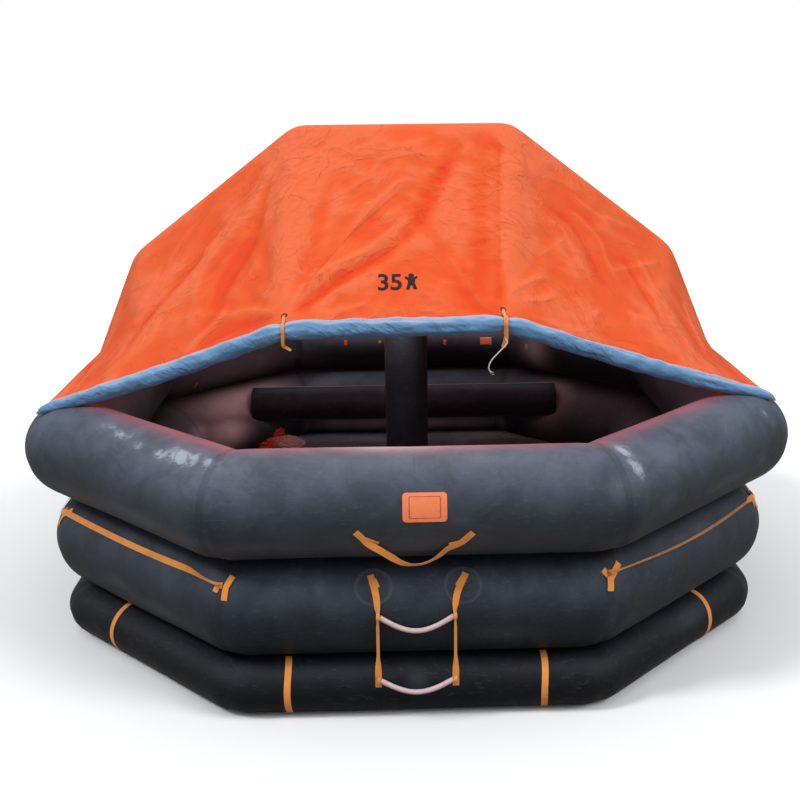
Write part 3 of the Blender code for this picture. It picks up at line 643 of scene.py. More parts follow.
def webbingFinish():
    made, shader, spot, uv = newFinish("orange_webbing_weave", Sheen_Weight=0.25, Roughness=0.62)
    weave = useGroup(weaveGroup, Vector=uv, Threads_per_metre=webbingLook["ribs"], Unevenness=0.3)
    spots = useGroup(wearGroup, Vector=spot, Blotch_scale=9.0, Rub_scale=40.0)
    tone = mixColours(weave["Tone"], webbingLook["base"], webbingLook["pale"])
    soil = times(spots["Blotches"], webbingLook["soilShare"])
    feed(shader.inputs["Base Color"], mixColours(soil, tone, webbingLook["soil"]))
    bump(shader, weave["Height"], webbingLook["ribDepth"])
    return made


def simpleFinish(name, base, second, rough, scale, depth, **values):
    # a moulded or coated surface with small blotches and grain
    made, shader, spot, _ = newFinish(name, **values)
    blotches = useGroup(wearGroup, Vector=spot, Blotch_scale=scale, Rub_scale=scale * 6)["Blotches"]
    feed(shader.inputs["Base Color"], mixColours(blotches, base, second))
    feed(shader.inputs["Roughness"], linear(blotches, 0.15, rough))
    bump(shader, noise(spot, scale * 25, 4.0, 0.6), depth)
    return made


tubeRubber = tubeFinish("dark_tube_rubber", 1.13, tubeLook["dustAndSheen"], 0.04)
doublerRubber = tubeFinish("dark_doubler_rubber", 0.8, tubeLook["dustAndSheen"], 0.04)
# painted shade: a darker copy of the tube rubber, with little dust and sheen, for the arch, pillar and
# thwarts
shadedInnerRubber = tubeFinish("shaded_inner_rubber", 0.32, tubeLook["dustAndSheen"], 0.02)
floorRubber = tubeFinish("grey_floor_rubber", 3.4, tubeLook["floorDust"], 0.05)
canopyCloth = canopyFinish("orange_canopy_cloth", canopyLook["outer"])
# daylight comes through the cloth, so its inner face glows a little
canopyInner = canopyFinish("canopy_inner_face", canopyLook["inner"], **canopyLook["glow"])
liningCloth = liningFinish()
webbing = webbingFinish()
rungPlastic = simpleFinish("pale_rung_plastic", (0.7, 0.5, 0.5), (0.62, 0.44, 0.45), 0.35, 30.0, 0.0004)
labelCloth = simpleFinish("orange_label_cloth", (0.98, 0.25, 0.1), (0.93, 0.21, 0.075), 0.45, 25.0, 0.0003)
labelInk = simpleFinish("label_print", (0.22, 0.035, 0.015), (0.28, 0.05, 0.02), 0.6, 30.0, 0.0002)
markInk = simpleFinish("dark_canopy_print", (0.022, 0.014, 0.018), (0.055, 0.022, 0.024), 0.6, 24.0, 0.0003,
                       Specular_IOR_Level=0.15)
eyeletMetal = simpleFinish("dull_eyelet_metal", (0.05, 0.04, 0.035), (0.1, 0.07, 0.05), 0.4, 60.0, 0.0002,
                           Metallic=0.8)
gearOrange = simpleFinish("orange_gear_cloth", (0.7, 0.062, 0.016), (0.8, 0.12, 0.035), 0.5, 12.0, 0.002)
cordKnot = simpleFinish("worn_cord_knot", (0.2, 0.12, 0.09), (0.34, 0.28, 0.24), 0.7, 60.0, 0.0003)
gearPale = simpleFinish("pale_gear_cloth", (0.62, 0.5, 0.52), (0.8, 0.3, 0.2), 0.6, 9.0, 0.002)
tagRed = simpleFinish("red_tag_cloth", (0.85, 0.1, 0.03), (0.75, 0.14, 0.06), 0.5, 40.0, 0.0003)
tagPale = simpleFinish("pale_tag_cloth", (0.55, 0.5, 0.38), (0.45, 0.42, 0.34), 0.6, 40.0, 0.0003)
whiteCord = simpleFinish("white_cord_braid", (0.72, 0.72, 0.69), (0.6, 0.6, 0.57), 0.7, 50.0, 0.0006)
print("finishes ready")


# Buoyancy tubes: eight glued panels each, rounded at the mitre seams

tubeShape = dict(around=72, bendSteps=16, straightSteps=40, outerBend=0.15, innerBend=0.05,
                 pinch=0.007, pinchWidth=0.045, pucker=0.0016, puckerWidth=0.07, lump=0.003,
                 pressedLift=0.001,
                 creviceShadeWidths=(32.0, 15.0), touching=dict(upper=(195,), middle=(15, 165), lower=(345,)))
# chalky rub marks: side, along, angle, size along, size round, strength
scuffs = dict(
    upper=[(7, -0.2, 20, 0.12, 0.05, 0.6), (7, 0.0, 26, 0.16, 0.06, 0.66), (7, 0.2, 32, 0.08, 0.05, 0.66),
           (7, 0.62, 27, 0.2, 0.085, 0.92), (7, 0.46, 33, 0.1, 0.06, 0.78), (7, 0.86, 24, 0.16, 0.07, 0.6),
           (0, -1.12, 20, 0.1, 0.05, 0.48), (7, 0.35, 111, 0.35, 0.05, 0.34),
           (7, 0.85, 117, 0.15, 0.05, 0.34), (0, -0.95, 120, 0.2, 0.04, 0.3),
           (1, -0.77, 24, 0.06, 0.14, 0.85), (1, -0.8, 46, 0.06, 0.12, 0.82),
           (1, -0.55, 50, 0.1, 0.05, 0.46), (1, 0.7, 45, 0.04, 0.07, 0.6), (1, 0.74, 60, 0.04, 0.04, 0.55),
           (1, 0.55, 99, 0.05, 0.05, 0.5), (1, 0.15, 105, 0.28, 0.04, 0.36), (1, -0.6, 95, 0.1, 0.05, 0.3),
           (0, 1.13, 61, 0.05, 0.09, 0.36), (0, -0.2, 26, 0.5, 0.06, 0.24), (0, 0.5, 24, 0.4, 0.06, 0.26),
           (0, 0.25, 92, 0.05, 0.03, 0.36), (2, -0.75, 25, 0.25, 0.12, 0.42), (4, 0.2, 60, 0.4, 0.1, 0.42),
           (3, 0.3, 55, 0.3, 0.12, 0.45), (5, -0.3, 70, 0.3, 0.1, 0.45), (6, 0.4, 60, 0.3, 0.1, 0.45),
           (5, 0.1, -95, 0.03, 0.05, 0.5), (5, -0.25, -100, 0.04, 0.06, 0.45)],
    middle=[(0, -0.68, 61, 0.03, 0.05, 0.42), (0, -0.57, 60, 0.03, 0.05, 0.4),
            (7, -0.13, 101, 0.15, 0.05, 0.4), (7, 0.3, 111, 0.22, 0.05, 0.36),
            (1, 0.14, 57, 0.09, 0.03, 0.42), (1, -0.1, 56, 0.08, 0.03, 0.38),
            (0, 1.16, 100, 0.03, 0.1, 0.36), (0, 0.5, 112, 0.2, 0.06, 0.28), (4, -0.3, 80, 0.3, 0.1, 0.4),
            (2, 0.2, 75, 0.3, 0.08, 0.38)],
    lower=[(0, 0.0, 62, 0.06, 0.08, 0.34), (1, 0.1, 60, 0.2, 0.06, 0.3), (4, 0.3, 70, 0.2, 0.06, 0.3)])
# painted light: soft pale patches where light falls, in the same terms
paintedLights = dict(
    upper=[(0, 0.0, 120, 1.2, 0.13, 0.07), (0, 0.0, 22, 1.0, 0.12, 0.05), (0, 0.0, -8, 1.0, 0.13, 0.09),
           (7, 0.2, 120, 0.9, 0.12, 0.03), (3, 0.37, -98, 0.14, 0.16, 0.6),
           (5, 0.0, -108, 0.75, 0.16, 0.22), (4, 0.0, -74, 1.2, 0.1, 0.16)],
    middle=[(5, 0.02, -38, 0.44, 0.18, 1.0), (5, 0.3, -78, 0.22, 0.12, 1.0),
            (6, -0.85, -72, 0.3, 0.1, 0.6), (3, 0.1, -50, 0.18, 0.2, 0.55),
            (4, -0.05, -100, 0.85, 0.055, 1.0)],
    lower=[])


# painted reflection of the orange canopy along the inner edge of the entrance: side, strength
canopyReflections = dict(upper=[(7, 0.85), (0, 1.0), (1, 0.78), (3, 0.3), (4, 0.4), (5, 0.3)], middle=[], lower=[])


def canopyReflectionNear(grid, theta, sides):
    # strongest a little inward of the top
    total = np.zeros(grid.shape[:2])
    turned = (np.degrees(theta) + 180) % 360 - 180
    where = bell(turned + 15, 19.0)[None]
    for side, strength in sides:
        facing = unit(grid[..., :2]) @ sideAxes(side)[0][:2]
        total = np.maximum(total, strength * where * ease(facing, cos(turn * 0.62), cos(turn * 0.38)))
    return total


def strengthNear(grid, tube, marks):
    total = np.zeros(grid.shape[:2])
    for side, along, angle, sizeAlong, sizeRound, strength in marks:
        ahead = sideAxes(side)[1]
        away = grid - onTube(tube, side, along, angle)
        run = away @ ahead
        rest = norm(away - run[..., None] * ahead, axis=-1)
        total = np.maximum(total, strength * np.exp(-(run / sizeAlong) ** 2 - (rest / sizeRound) ** 2))
    return total


def mitredTube(name, tube, seed):
    radius, half, height = tube
    size = radius * roundness
    around = tubeShape["around"]
    theta = circle(around)   # 0 on top, then outward
    sine, cosine = np.sin(theta), np.cos(theta)
    corners = []
    for index, (x, y) in enumerate(cornerPoints(half)):
        out = sideAxes(index + 0.5)[0] * (size * sine * mitre)[:, None]
        corners.append(array([x, y, height]) + out + np.outer(size * cosine, (0, 0, 1)))
    reach = tubeShape["innerBend"] + (tubeShape["outerBend"] - tubeShape["innerBend"]) * (1 + sine) / 2
    rows, seam, out = [], [], []
    for index in range(8):
        here, before, after = corners[index], corners[index - 1], corners[(index + 1) % 8]
        back, ahead = unit(before - here), unit(after - here)
        outHere, outNext = sideAxes(index)[0], sideAxes(index + 1)[0]
        for t in linspace(0, 1, tubeShape["bendSteps"] + 1):
            start, end = here + back * reach[:, None], here + ahead * reach[:, None]
            rows.append((1 - t) ** 2 * start + 2 * t * (1 - t) * here + t * t * end)
            seam.append((2 * t - 1) * reach)
            out.append(unit(outHere * (1 - t) + outNext * t))
        span = norm(after - here, axis=1)
        for t in linspace(0, 1, tubeShape["straightSteps"] + 2)[1:-1]:
            distance = reach + t * (span - 2 * reach)
            rows.append(here + ahead * distance[:, None])
            seam.append(np.where(t < 0.5, distance, distance - span))
            out.append(outNext)
    grid, seam, out = array(rows), array(seam), array(out)
    normal = out[:, None, :] * sine[None, :, None] + array([0, 0, 1.0]) * cosine[None, :, None]
    near = bell(seam, tubeShape["pinchWidth"])
    push = lumps(grid, 0.55, seed) * tubeShape["lump"] + lumps(grid, 0.2, seed + 1) * tubeShape["lump"] * 0.3
    push -= tubeShape["pinch"] * near
    wave = np.sin(theta * 23 + 2.0 * np.sin(theta * 3 + seed))[None, :]
    nearSeam = bell(seam, tubeShape["puckerWidth"])
    push += tubeShape["pucker"] * wave * nearSeam * ease(-sine, -0.6, 0.8)[None, :]
    # painted shade mask for the crevices where the tubes touch
    creviceShade = np.zeros(grid.shape[:2])
    for angle in tubeShape["touching"][name]:   # pressed together, so no gap shows between the tubes
        apart = np.abs((np.degrees(theta) - angle + 180) % 360 - 180)
        wide = tubeShape["creviceShadeWidths"][0 if cos(radians(angle)) > 0 else 1]
        creviceShade = np.maximum(creviceShade, 0.9 * bell(apart, wide)[None, :] + 0 * seam)
        pressed = 1 - ease(apart, 8, 26)[None, :]
        push = push * (1 - pressed) + tubeShape["pressedLift"] * pressed
    grid = grid + normal * push[..., None]
    grid[..., 2] = np.maximum(grid[..., 2], 0.0004)
    middleLine = lengths(np.concatenate([grid[:, around // 4], grid[:1, around // 4]]))
    mesh = meshFromGrid(grid, True, True, uv=(middleLine, np.append(theta, 2 * pi) * size))
    addValues(mesh, "seamOffset", seam)
    addValues(mesh, "chalk", strengthNear(grid, tube, scuffs[name]))
    addValues(mesh, "paintedLight", strengthNear(grid, tube, paintedLights[name]))
    addValues(mesh, "creviceShade", creviceShade)
    addValues(mesh, "canopyReflection", canopyReflectionNear(grid, theta, canopyReflections[name]))
    return faceOutward(mesh)


tubeTrees = {}
for seed, (name, tube) in enumerate((("upper", upperTube), ("middle", middleTube), ("lower", lowerTube))):
    mesh = mitredTube(name, tube, 11 + 3 * seed)
    put("inflated_tube_" + name, mesh, tubeRubber, "tube_fabric", "buoyancy_tube_" + name)
    tubeTrees[name] = treeFromMesh(mesh)
print("buoyancy tubes ready")


def restOn(tree, points, lift):
    found = [tree.find_nearest(Vector(point)) for point in points]
    return array([spot + normal * lift for spot, normal, _, _ in found])


# Canopy: one continuous cloth from hem to hem over the arch

arch = dict(radius=0.13, facets=16, shoulder=(1.985, 2.488), top=(0.779, 3.396), bend=0.16, around=40,
            slim=0.972,
            footDepth=0.13, pinch=0.03, pinchWidth=0.035, pucker=0.0014, puckerWidth=0.07, lump=0.0016)
canopy = dict(hemEndY=1.12, hemCut=(0.08, 0.04, 0.0), flangeLift=0.0065, creaseShare=0.38, sag=0.03,
              tieLeft=(-0.785, -1.5, 2.262), tieRight=(0.595, -1.5, 2.284),
              columns=(4, 3, 34, 52, 60), rowsDown=84, rowsOver=7, spring=radians(38.0), thickness=0.002,
              loose=1.3, narrow=0.8, pull=0.005, pullReach=0.55, offTube=0.0015, offArch=0.0012,
              lumps=((0.42, 0.003), (0.13, 0.002), (0.055, 0.0018)), seed=5)
archFlat = cos(pi / arch["facets"])
archInset = arch["radius"] * archFlat + gap

# folds of the front half: kind, depth in mm, half width, x and z of each point; depth below 0 is a valley
frontFolds = [
    ("ridge", 15, 0.04, -0.86, 3.3, -0.93, 3.17, -1.05, 2.91, -1.21, 2.7, -1.36, 2.5, -1.5, 2.25),
    ("valley", -20, 0.055, -0.96, 3.08, -1.05, 2.68, -1.18, 2.48, -1.26, 2.33, -1.31, 2.2),
    ("ridge", 16, 0.045, -1.23, 2.74, -1.37, 2.54, -1.55, 2.34, -1.7, 2.19, -1.84, 2.01, -1.9, 1.88),
    ("valley", -13, 0.05, -1.32, 2.66, -1.5, 2.44, -1.68, 2.26, -1.86, 2.05, -1.98, 1.85),
    ("ridge", 9, 0.03, -0.82, 2.3, -0.94, 2.3, -1.08, 2.28, -1.24, 2.21),
    ("valley", -9, 0.032, -0.8, 2.3, -0.98, 2.24, -1.14, 2.18, -1.44, 2.02),
    ("ridge", 11, 0.035, -1.15, 2.3, -1.3, 2.15, -1.47, 2.0),
    ("ridge", 17, 0.11, -0.8, 3.27, -0.82, 2.88, -0.81, 2.5, -0.8, 2.33),
    ("valley", -16, 0.06, -0.5, 3.1, -0.58, 2.8, -0.66, 2.55, -0.76, 2.36),
    ("ridge", 17, 0.04, -0.79, 2.31, -0.69, 2.39, -0.55, 2.5, -0.25, 2.62, -0.02, 2.78, 0.15, 2.9),
    ("valley", -15, 0.042, -0.75, 2.3, -0.6, 2.38, -0.4, 2.5, -0.12, 2.63, 0.1, 2.78),
    ("ridge", 15, 0.045, -0.74, 2.33, -0.58, 2.5, -0.33, 2.77, -0.09, 2.97, 0.1, 3.12),
    ("valley", -13, 0.045, -0.7, 2.4, -0.48, 2.62, -0.24, 2.82, 0.02, 3.0),
    ("ridge", 9, 0.028, -0.68, 2.29, -0.47, 2.4, -0.25, 2.49, -0.1, 2.54),
    ("ridge", 9, 0.028, -0.55, 2.29, -0.35, 2.33, -0.22, 2.36),
    ("crease", 9, 0.022, -1.1, 3.0, -1.42, 2.89, -1.6, 2.76),
    ("crease", 8, 0.022, -1.16, 2.86, -1.34, 2.62, -1.54, 2.48),
    ("crease", 7, 0.02, -1.02, 3.12, -1.2, 3.02, -1.36, 2.98),
    ("crease", 8, 0.018, -0.18, 3.31, -0.02, 3.23, 0.18, 3.32),
    ("crease", 8, 0.018, -0.12, 2.97, 0.02, 3.03, 0.16, 3.01),
    ("crease", 7, 0.018, -0.25, 3.09, -0.09, 3.19, 0.17, 3.2),
    ("crease", 8, 0.018, -0.03, 3.26, 0.14, 3.29, 0.32, 3.37),
    ("crease", 7, 0.016, 0.4, 3.18, 0.47, 3.24, 0.53, 3.14),
    ("crease", 7, 0.018, 0.02, 3.13, 0.12, 3.08, 0.26, 3.1),
    ("vee", -17, 0.034, 0.7, 3.36, 0.67, 3.14, 0.64, 2.88, 0.61, 2.59, 0.59, 2.37),
    ("valley", -14, 0.125, 0.52, 3.34, 0.52, 3.08, 0.49, 2.76, 0.5, 2.56, 0.56, 2.4),
    ("ridge", 10, 0.09, 0.8, 3.24, 0.76, 2.96, 0.71, 2.66, 0.65, 2.44),
    ("valley", -15, 0.07, 0.44, 3.33, 0.3, 3.15, 0.22, 3.0, 0.05, 2.81, -0.05, 2.65),
    ("ridge", 10, 0.06, 0.34, 3.05, 0.24, 2.88, 0.16, 2.7),
    ("crease", 16, 0.024, 0.4, 2.57, 0.4, 2.42, 0.45, 2.34, 0.56, 2.3),
    ("crease", 10, 0.022, 0.26, 2.61, 0.34, 2.49, 0.37, 2.39),
    ("ridge", 7, 0.022, 0.96, 3.19, 1.3, 2.93, 1.62, 2.7, 1.88, 2.5),
    ("ridge", 7, 0.024, 1.15, 2.93, 1.41, 2.74, 1.69, 2.64, 1.91, 2.49),
    ("ridge", 6, 0.022, 0.92, 2.79, 1.07, 2.71, 1.15, 2.56, 1.27, 2.33),
    ("valley", -6, 0.032, 1.0, 2.85, 1.16, 2.72, 1.27, 2.52, 1.38, 2.28),
    ("ridge", 7, 0.022, 1.13, 2.82, 1.23, 2.75, 1.37, 2.59, 1.4, 2.47, 1.5, 2.28),
    ("ridge", 8, 0.028, 1.62, 2.52, 1.72, 2.32, 1.84, 2.13, 1.94, 1.95),
    ("valley", -7, 0.032, 1.52, 2.5, 1.64, 2.28, 1.74, 2.08, 1.8, 1.96),
    ("crease", 8, 0.018, 1.37, 2.42, 1.58, 2.41, 1.9, 2.41),
    ("crease", 7, 0.016, 0.95, 3.05, 1.15, 2.98, 1.3, 2.86),
    ("crease", 6, 0.016, 1.0, 2.62, 1.1, 2.52, 1.16, 2.38),
    ("crease", 6, 0.016, 0.86, 2.56, 1.0, 2.6, 1.14, 2.66),
    ("crease", 7, 0.016, 1.46, 2.2, 1.6, 2.12, 1.78, 2.08),
    ("crease", 6, 0.016, -1.48, 2.74, -1.62, 2.58, -1.7, 2.42),
    ("crease", 6, 0.016, -1.72, 2.48, -1.8, 2.32, -1.92, 2.2),
    ("crease", 6, 0.014, -0.3, 2.86, -0.16, 2.92, 0.0, 2.9),
    ("crease", 6, 0.014, 0.08, 2.52, 0.2, 2.46, 0.34, 2.44),
    ("crease", 6, 0.014, 0.36, 2.86, 0.46, 2.8, 0.56, 2.82),
    ("crease", 10, 0.022, 0.62, 2.38, 0.81, 2.43, 0.97, 2.44),
    ("crease", 9, 0.02, 0.63, 2.35, 0.86, 2.32, 1.03, 2.34),
    ("crease", 15, 0.026, 1.8, 2.13, 1.86, 2.02, 1.94, 1.91, 2.02, 1.85),
    ("crease", 12, 0.024, 1.99, 2.15, 2.05, 1.92, 2.09, 1.82),
    ("ridge", 8, 0.024, 0.72, 2.28, 1.0, 2.16, 1.32, 2.04, 1.65, 1.94),
]
# folds of the rear half, in the same way, seen from behind with x to the right
rearFolds = [
    ("ridge", 15, 0.1, -0.8, 3.25, -0.8, 2.88, -0.8, 2.5, -0.79, 2.33),
    ("valley", -15, 0.055, -0.98, 3.05, -1.05, 2.75, -1.02, 2.5, -0.92, 2.34),
    ("ridge", 15, 0.045, -0.9, 3.2, -1.15, 2.9, -1.4, 2.62, -1.62, 2.3, -1.72, 2.02),
    ("valley", -14, 0.05, -1.2, 2.74, -1.4, 2.5, -1.52, 2.24, -1.56, 2.04),
    ("ridge", 13, 0.045, -1.6, 2.62, -1.74, 2.4, -1.9, 2.12, -2.0, 1.9),
    ("ridge", 14, 0.045, -0.74, 2.34, -0.52, 2.52, -0.22, 2.64, 0.05, 2.7),
    ("valley", -13, 0.045, -0.7, 2.3, -0.45, 2.42, -0.15, 2.52, 0.1, 2.55),
    ("ridge", 13, 0.045, -0.72, 2.42, -0.5, 2.72, -0.3, 2.98, -0.1, 3.15),
    ("valley", -14, 0.07, 0.4, 3.2, 0.46, 2.9, 0.5, 2.62, 0.56, 2.42),
    ("vee", -20, 0.04, 0.72, 3.34, 0.68, 3.1, 0.65, 2.85, 0.61, 2.4),
    ("ridge", 12, 0.04, 0.64, 2.34, 0.9, 2.45, 1.2, 2.52, 1.45, 2.52),
    ("crease", 12, 0.024, 0.3, 2.56, 0.36, 2.42, 0.46, 2.34, 0.56, 2.31),
    ("ridge", 12, 0.034, 1.05, 3.05, 1.25, 2.78, 1.4, 2.52, 1.48, 2.24),
    ("ridge", 12, 0.034, 1.5, 2.7, 1.66, 2.44, 1.8, 2.18, 1.92, 1.94),
    ("crease", 10, 0.02, 1.1, 2.7, 1.3, 2.66, 1.5, 2.7),
    ("crease", 9, 0.02, -0.1, 2.95, 0.05, 3.02, 0.2, 2.98),
    ("crease", 9, 0.02, -0.28, 3.2, -0.1, 3.28, 0.1, 3.24),
]


def archCentreLine(inset):
    foot = array(archFoot())
    points = [foot, array(arch["shoulder"]), array(arch["top"]), array([0.0, arch["top"][1]])]
    moved = []
    for index in range(3):
        ahead = unit(points[index + 1] - points[index])
        behind = unit(points[index] - points[index - 1]) if index else ahead
        normals = [array([d[1], -d[0]]) for d in (behind, ahead)]
        bisector = unit(normals[0] + normals[1])
        moved.append(points[index] - bisector * inset / bisector.dot(normals[1]))
    return moved


def archFoot():
    reach = raft["upperRadius"] * flat + gap
    return acrossHalf + reach * sin(raft["lean"]), upperZ + reach * cos(raft["lean"])


def fillKeys(keys, counts):
    made = []
    for a, b, count in zip(keys, keys[1:], counts):
        made += [a + (b - a) * step / count for step in range(count)]
    return array(made + [keys[-1]])


def canopyFrontRows():
    reach = raft["upperRadius"] * roundness + canopy["offTube"]
    foot = array(archFoot())
    facetNormal = array([sin(raft["lean"]), cos(raft["lean"])])
    flange = [array([acrossHalf + reach * sin(a), upperZ + reach * cos(a)])
              for a in (radians(38.0), radians(22.5))]
    wall = archCentreLine(0.0)[1] - foot
    half = canopy["columns"]
    counts = [*half, *half[:4][::-1]]

    def archRow(inset, y):
        lowShoulder, lowTop = archCentreLine(inset)[1:]
        low = lowShoulder + wall * (foot - lowShoulder).dot(facetNormal) / wall.dot(facetNormal)
        keys = [array([p[0], y, p[1]]) for p in (*flange, low, lowShoulder, lowTop)]
        return fillKeys([k * (-1, 1, 1) for k in keys] + keys[::-1], counts)

    def hemKeys(tie, sign):
        ends = [array([p[0] * sign, back - canopy["hemEndY"], p[1]])
                for p, back in zip((*flange, foot), canopy["hemCut"])]
        return [*ends, ends[-1] + (array(tie) - ends[-1]) * canopy["creaseShare"], array(tie)]

    hem = fillKeys(hemKeys(canopy["tieLeft"], -1) + hemKeys(canopy["tieRight"], 1)[::-1], counts)
    clothRadius = archInset + canopy["offArch"]
    spring = canopy["spring"]
    onArch = archRow(clothRadius * (1 - cos(spring)) - 0.001, -clothRadius * sin(spring))
    number = np.arange(len(hem))
    edge = np.minimum(number, len(hem) - 1 - number)
    weights = ease(edge, sum(half[:3]) - 4, sum(half[:4]))
    rows = []
    for step in range(canopy["rowsDown"]):
        t = step / canopy["rowsDown"]
        sag = canopy["sag"] * sin(pi * t)
        rows.append(hem + (onArch - hem) * t - np.outer(sag * weights, (0, 0, 1)))
    for step in range(canopy["rowsOver"]):
        a = spring * (1 - step / canopy["rowsOver"])
        rows.append(archRow(clothRadius * (1 - cos(a)) - 0.001, -clothRadius * sin(a)))
    return array(rows), archRow(-0.001, 0.0)


def softenAcross(grid, start, end):
    # rounds the creases at the arch's bends, and keeps the glued flange and foot as they are
    made = grid.copy()
    for _ in range(9):
        smoother = made.copy()
        blur(smoother.swapaxes(0, 1))
        made[:, start:end] = smoother[:, start:end]
    return made


def gridNormals(grid):
    return unit(np.cross(np.gradient(grid, axis=1), np.gradient(grid, axis=0)))


def besidePath(xz, path):
    # for each point: distance to the path, share of the way along it, and which side of it
    best, share, side = np.full(len(xz), 9.0), np.zeros(len(xz)), np.zeros(len(xz))
    run = lengths(path)
    for k in range(len(path) - 1):
        a, d = path[k], path[k + 1] - path[k]
        t = np.clip(((xz - a) @ d) / (d @ d), 0, 1)
        away = xz - a - t[:, None] * d
        distance = norm(away, axis=1)
        closer = distance < best
        best = np.where(closer, distance, best)
        share = np.where(closer, (run[k] + t * (run[k + 1] - run[k])) / run[-1], share)
        side = np.where(closer, np.sign(away[:, 0] * d[1] - away[:, 1] * d[0]), side)
    return best, share, side


def foldPath(points):
    return smoothPath([(x, z, 0) for x, z in np.reshape(points, (-1, 2))], 5)[:, :2]


def foldHeights(xz, folds):
    height = np.zeros(len(xz))
    for kind, depth, width, *points in folds:
        best, share, side = besidePath(xz, foldPath(points))
        width = width * canopy["narrow"]
        ends = ease(share, 0.0, 0.22) * ease(1 - share, 0.0, 0.3)
        if kind == "crease":
            shape = np.exp(-best / width) * (1 - 0.35 * side)
        elif kind == "vee":   # a taut line: a slow fall to it from one side, a quick rise on the other
            ends = ease(share, 0.0, 0.12) * ease(1 - share, -0.2, 0.1)
            shape = np.where(side < 0, np.exp(-best / (width * 2.6)), np.exp(-best / width))
        else:
            shape = bell(best, width)
        height += depth * 0.001 * shape * ends
    return height


def pressedLines(xz, folds):
    # the narrow folds also show as thin lines; those of one set keep apart, to be drawn by their distance
    sets = [[] for _ in range(canopyLook["lineSets"])]
    for kind, depth, width, *points in folds:
        path = foldPath(points)
        middle = path[len(path) // 8:-(len(path) // 6)]
        if width > canopyLook["linedWidth"] and kind != "vee":
            continue
        for group in sets:
            apart = (norm(middle[:, None] - other[None], axis=2).min() for _, _, other in group)
            if all(distance > canopyLook["lineApart"] for distance in apart):
                group.append((depth * (canopyLook["veeShare"] if kind == "vee" else 1.0), path, middle))
                break
    values = []
    for group in sets:
        nearest, signed, strength = np.full(len(xz), 9.0), np.full(len(xz), 1.0), np.zeros(len(xz))
        for depth, path, _ in group:
            away, share, side = besidePath(xz, path)
            closer = away < nearest
            nearest = np.where(closer, away, nearest)
            signed = np.where(closer, away * side, signed)
            ends = ease(share, 0.0, 0.15) * ease(1 - share, 0.0, 0.3) * (1 - ease(away, 0.03, 0.058))
            strength = np.where(closer, np.clip(depth / 12, -1, 1) * ends, strength)
        values.append((signed.clip(-1, 1), strength))
    return values


def pulls(xz, tie, seed):
    # little drag folds that radiate from a tie
    away = xz - array(tie)
    distance = norm(away, axis=1)
    angle = np.arctan2(away[:, 1], away[:, 0])
    wave = lumps(stack([angle * 3.2, np.log(distance + 0.05) * 0.6, np.zeros(len(xz))], 1), 0.3, seed)
    return wave * canopy["pull"] * np.exp(-distance / canopy["pullReach"]) * ease(distance, 0.02, 0.16)


def halfHeights(front, folds, seed):
    xz = front.reshape(-1, 3)[:, [0, 2]]
    points = front.reshape(-1, 3)
    height = foldHeights(xz, folds)
    for tie in (canopy["tieLeft"], canopy["tieRight"]):
        height += pulls(xz, (tie[0], tie[2]), seed)
    slanted = points @ array([[0.8, 0.5, 0], [-0.3, 0.5, 0], [0.35, 0.6, 1.0]])
    (broad, broadDepth), (small, smallDepth), (tiny, tinyDepth) = canopy["lumps"]
    height += (lumps(points, broad, seed + 1) * broadDepth
               + lumps(slanted * (1.0, 1.0, 0.45), small, seed + 2) * smallDepth)
    fine = lumps(slanted * (1.0, 1.0, 0.4), tiny, seed + 3)
    height += (0.5 - np.abs(fine)) * tinyDepth * (0.5 + 0.5 * lumps(points, 0.35, seed + 4))
    return height.reshape(front.shape[:2])


def canopyGrid():
    front, ridge = canopyFrontRows()
    start = canopy["columns"][0] + canopy["columns"][1] + 2
    end = front.shape[1] - start
    front = softenAcross(front, start, end)
    ridge = softenAcross(ridge[None], start, end)[0]
    down = np.arange(len(front)) / canopy["rowsDown"]
    number = np.arange(front.shape[1])
    edge = np.minimum(number, front.shape[1] - 1 - number)
    free = np.outer(1 - ease(down, 0.8, 1.0), ease(edge, 5, 14))
    free *= 0.12 + 0.88 * ease(down, 0.0, 0.09)[:, None]
    halves, drawn = [], []
    xz = front.reshape(-1, 3)[:, [0, 2]]
    for folds, seed in ((frontFolds, canopy["seed"]), (rearFolds, canopy["seed"] + 40)):
        drawn.append([(away.reshape(free.shape), strength.reshape(free.shape) * np.minimum(free * 1.5, 1.0))
                      for away, strength in pressedLines(xz, folds)])
        height = halfHeights(front, folds, seed) * free * canopy["loose"]
        whole = np.concatenate([front, ridge[None]])
        normal = gridNormals(whole)[:-1]
        halves.append(front + normal * height[..., None])
    rear = halves[1] * (-1, -1, 1)
    grid = np.concatenate([halves[0], ridge[None], rear[::-1, ::-1]])
    glued = canopy["columns"][0] + canopy["columns"][1]
    for column in (*range(glued + 1), *range(grid.shape[1] - glued - 1, grid.shape[1])):
        grid[:, column] = restOn(tubeTrees["upper"], grid[:, column], canopy["flangeLift"])
    top = np.ones((1, front.shape[1]))
    lines = [(np.concatenate([a, top, b[::-1, ::-1]]), np.concatenate([p, 0 * top, q[::-1, ::-1]]))
             for (a, p), (b, q) in zip(*drawn)]
    return grid, lines


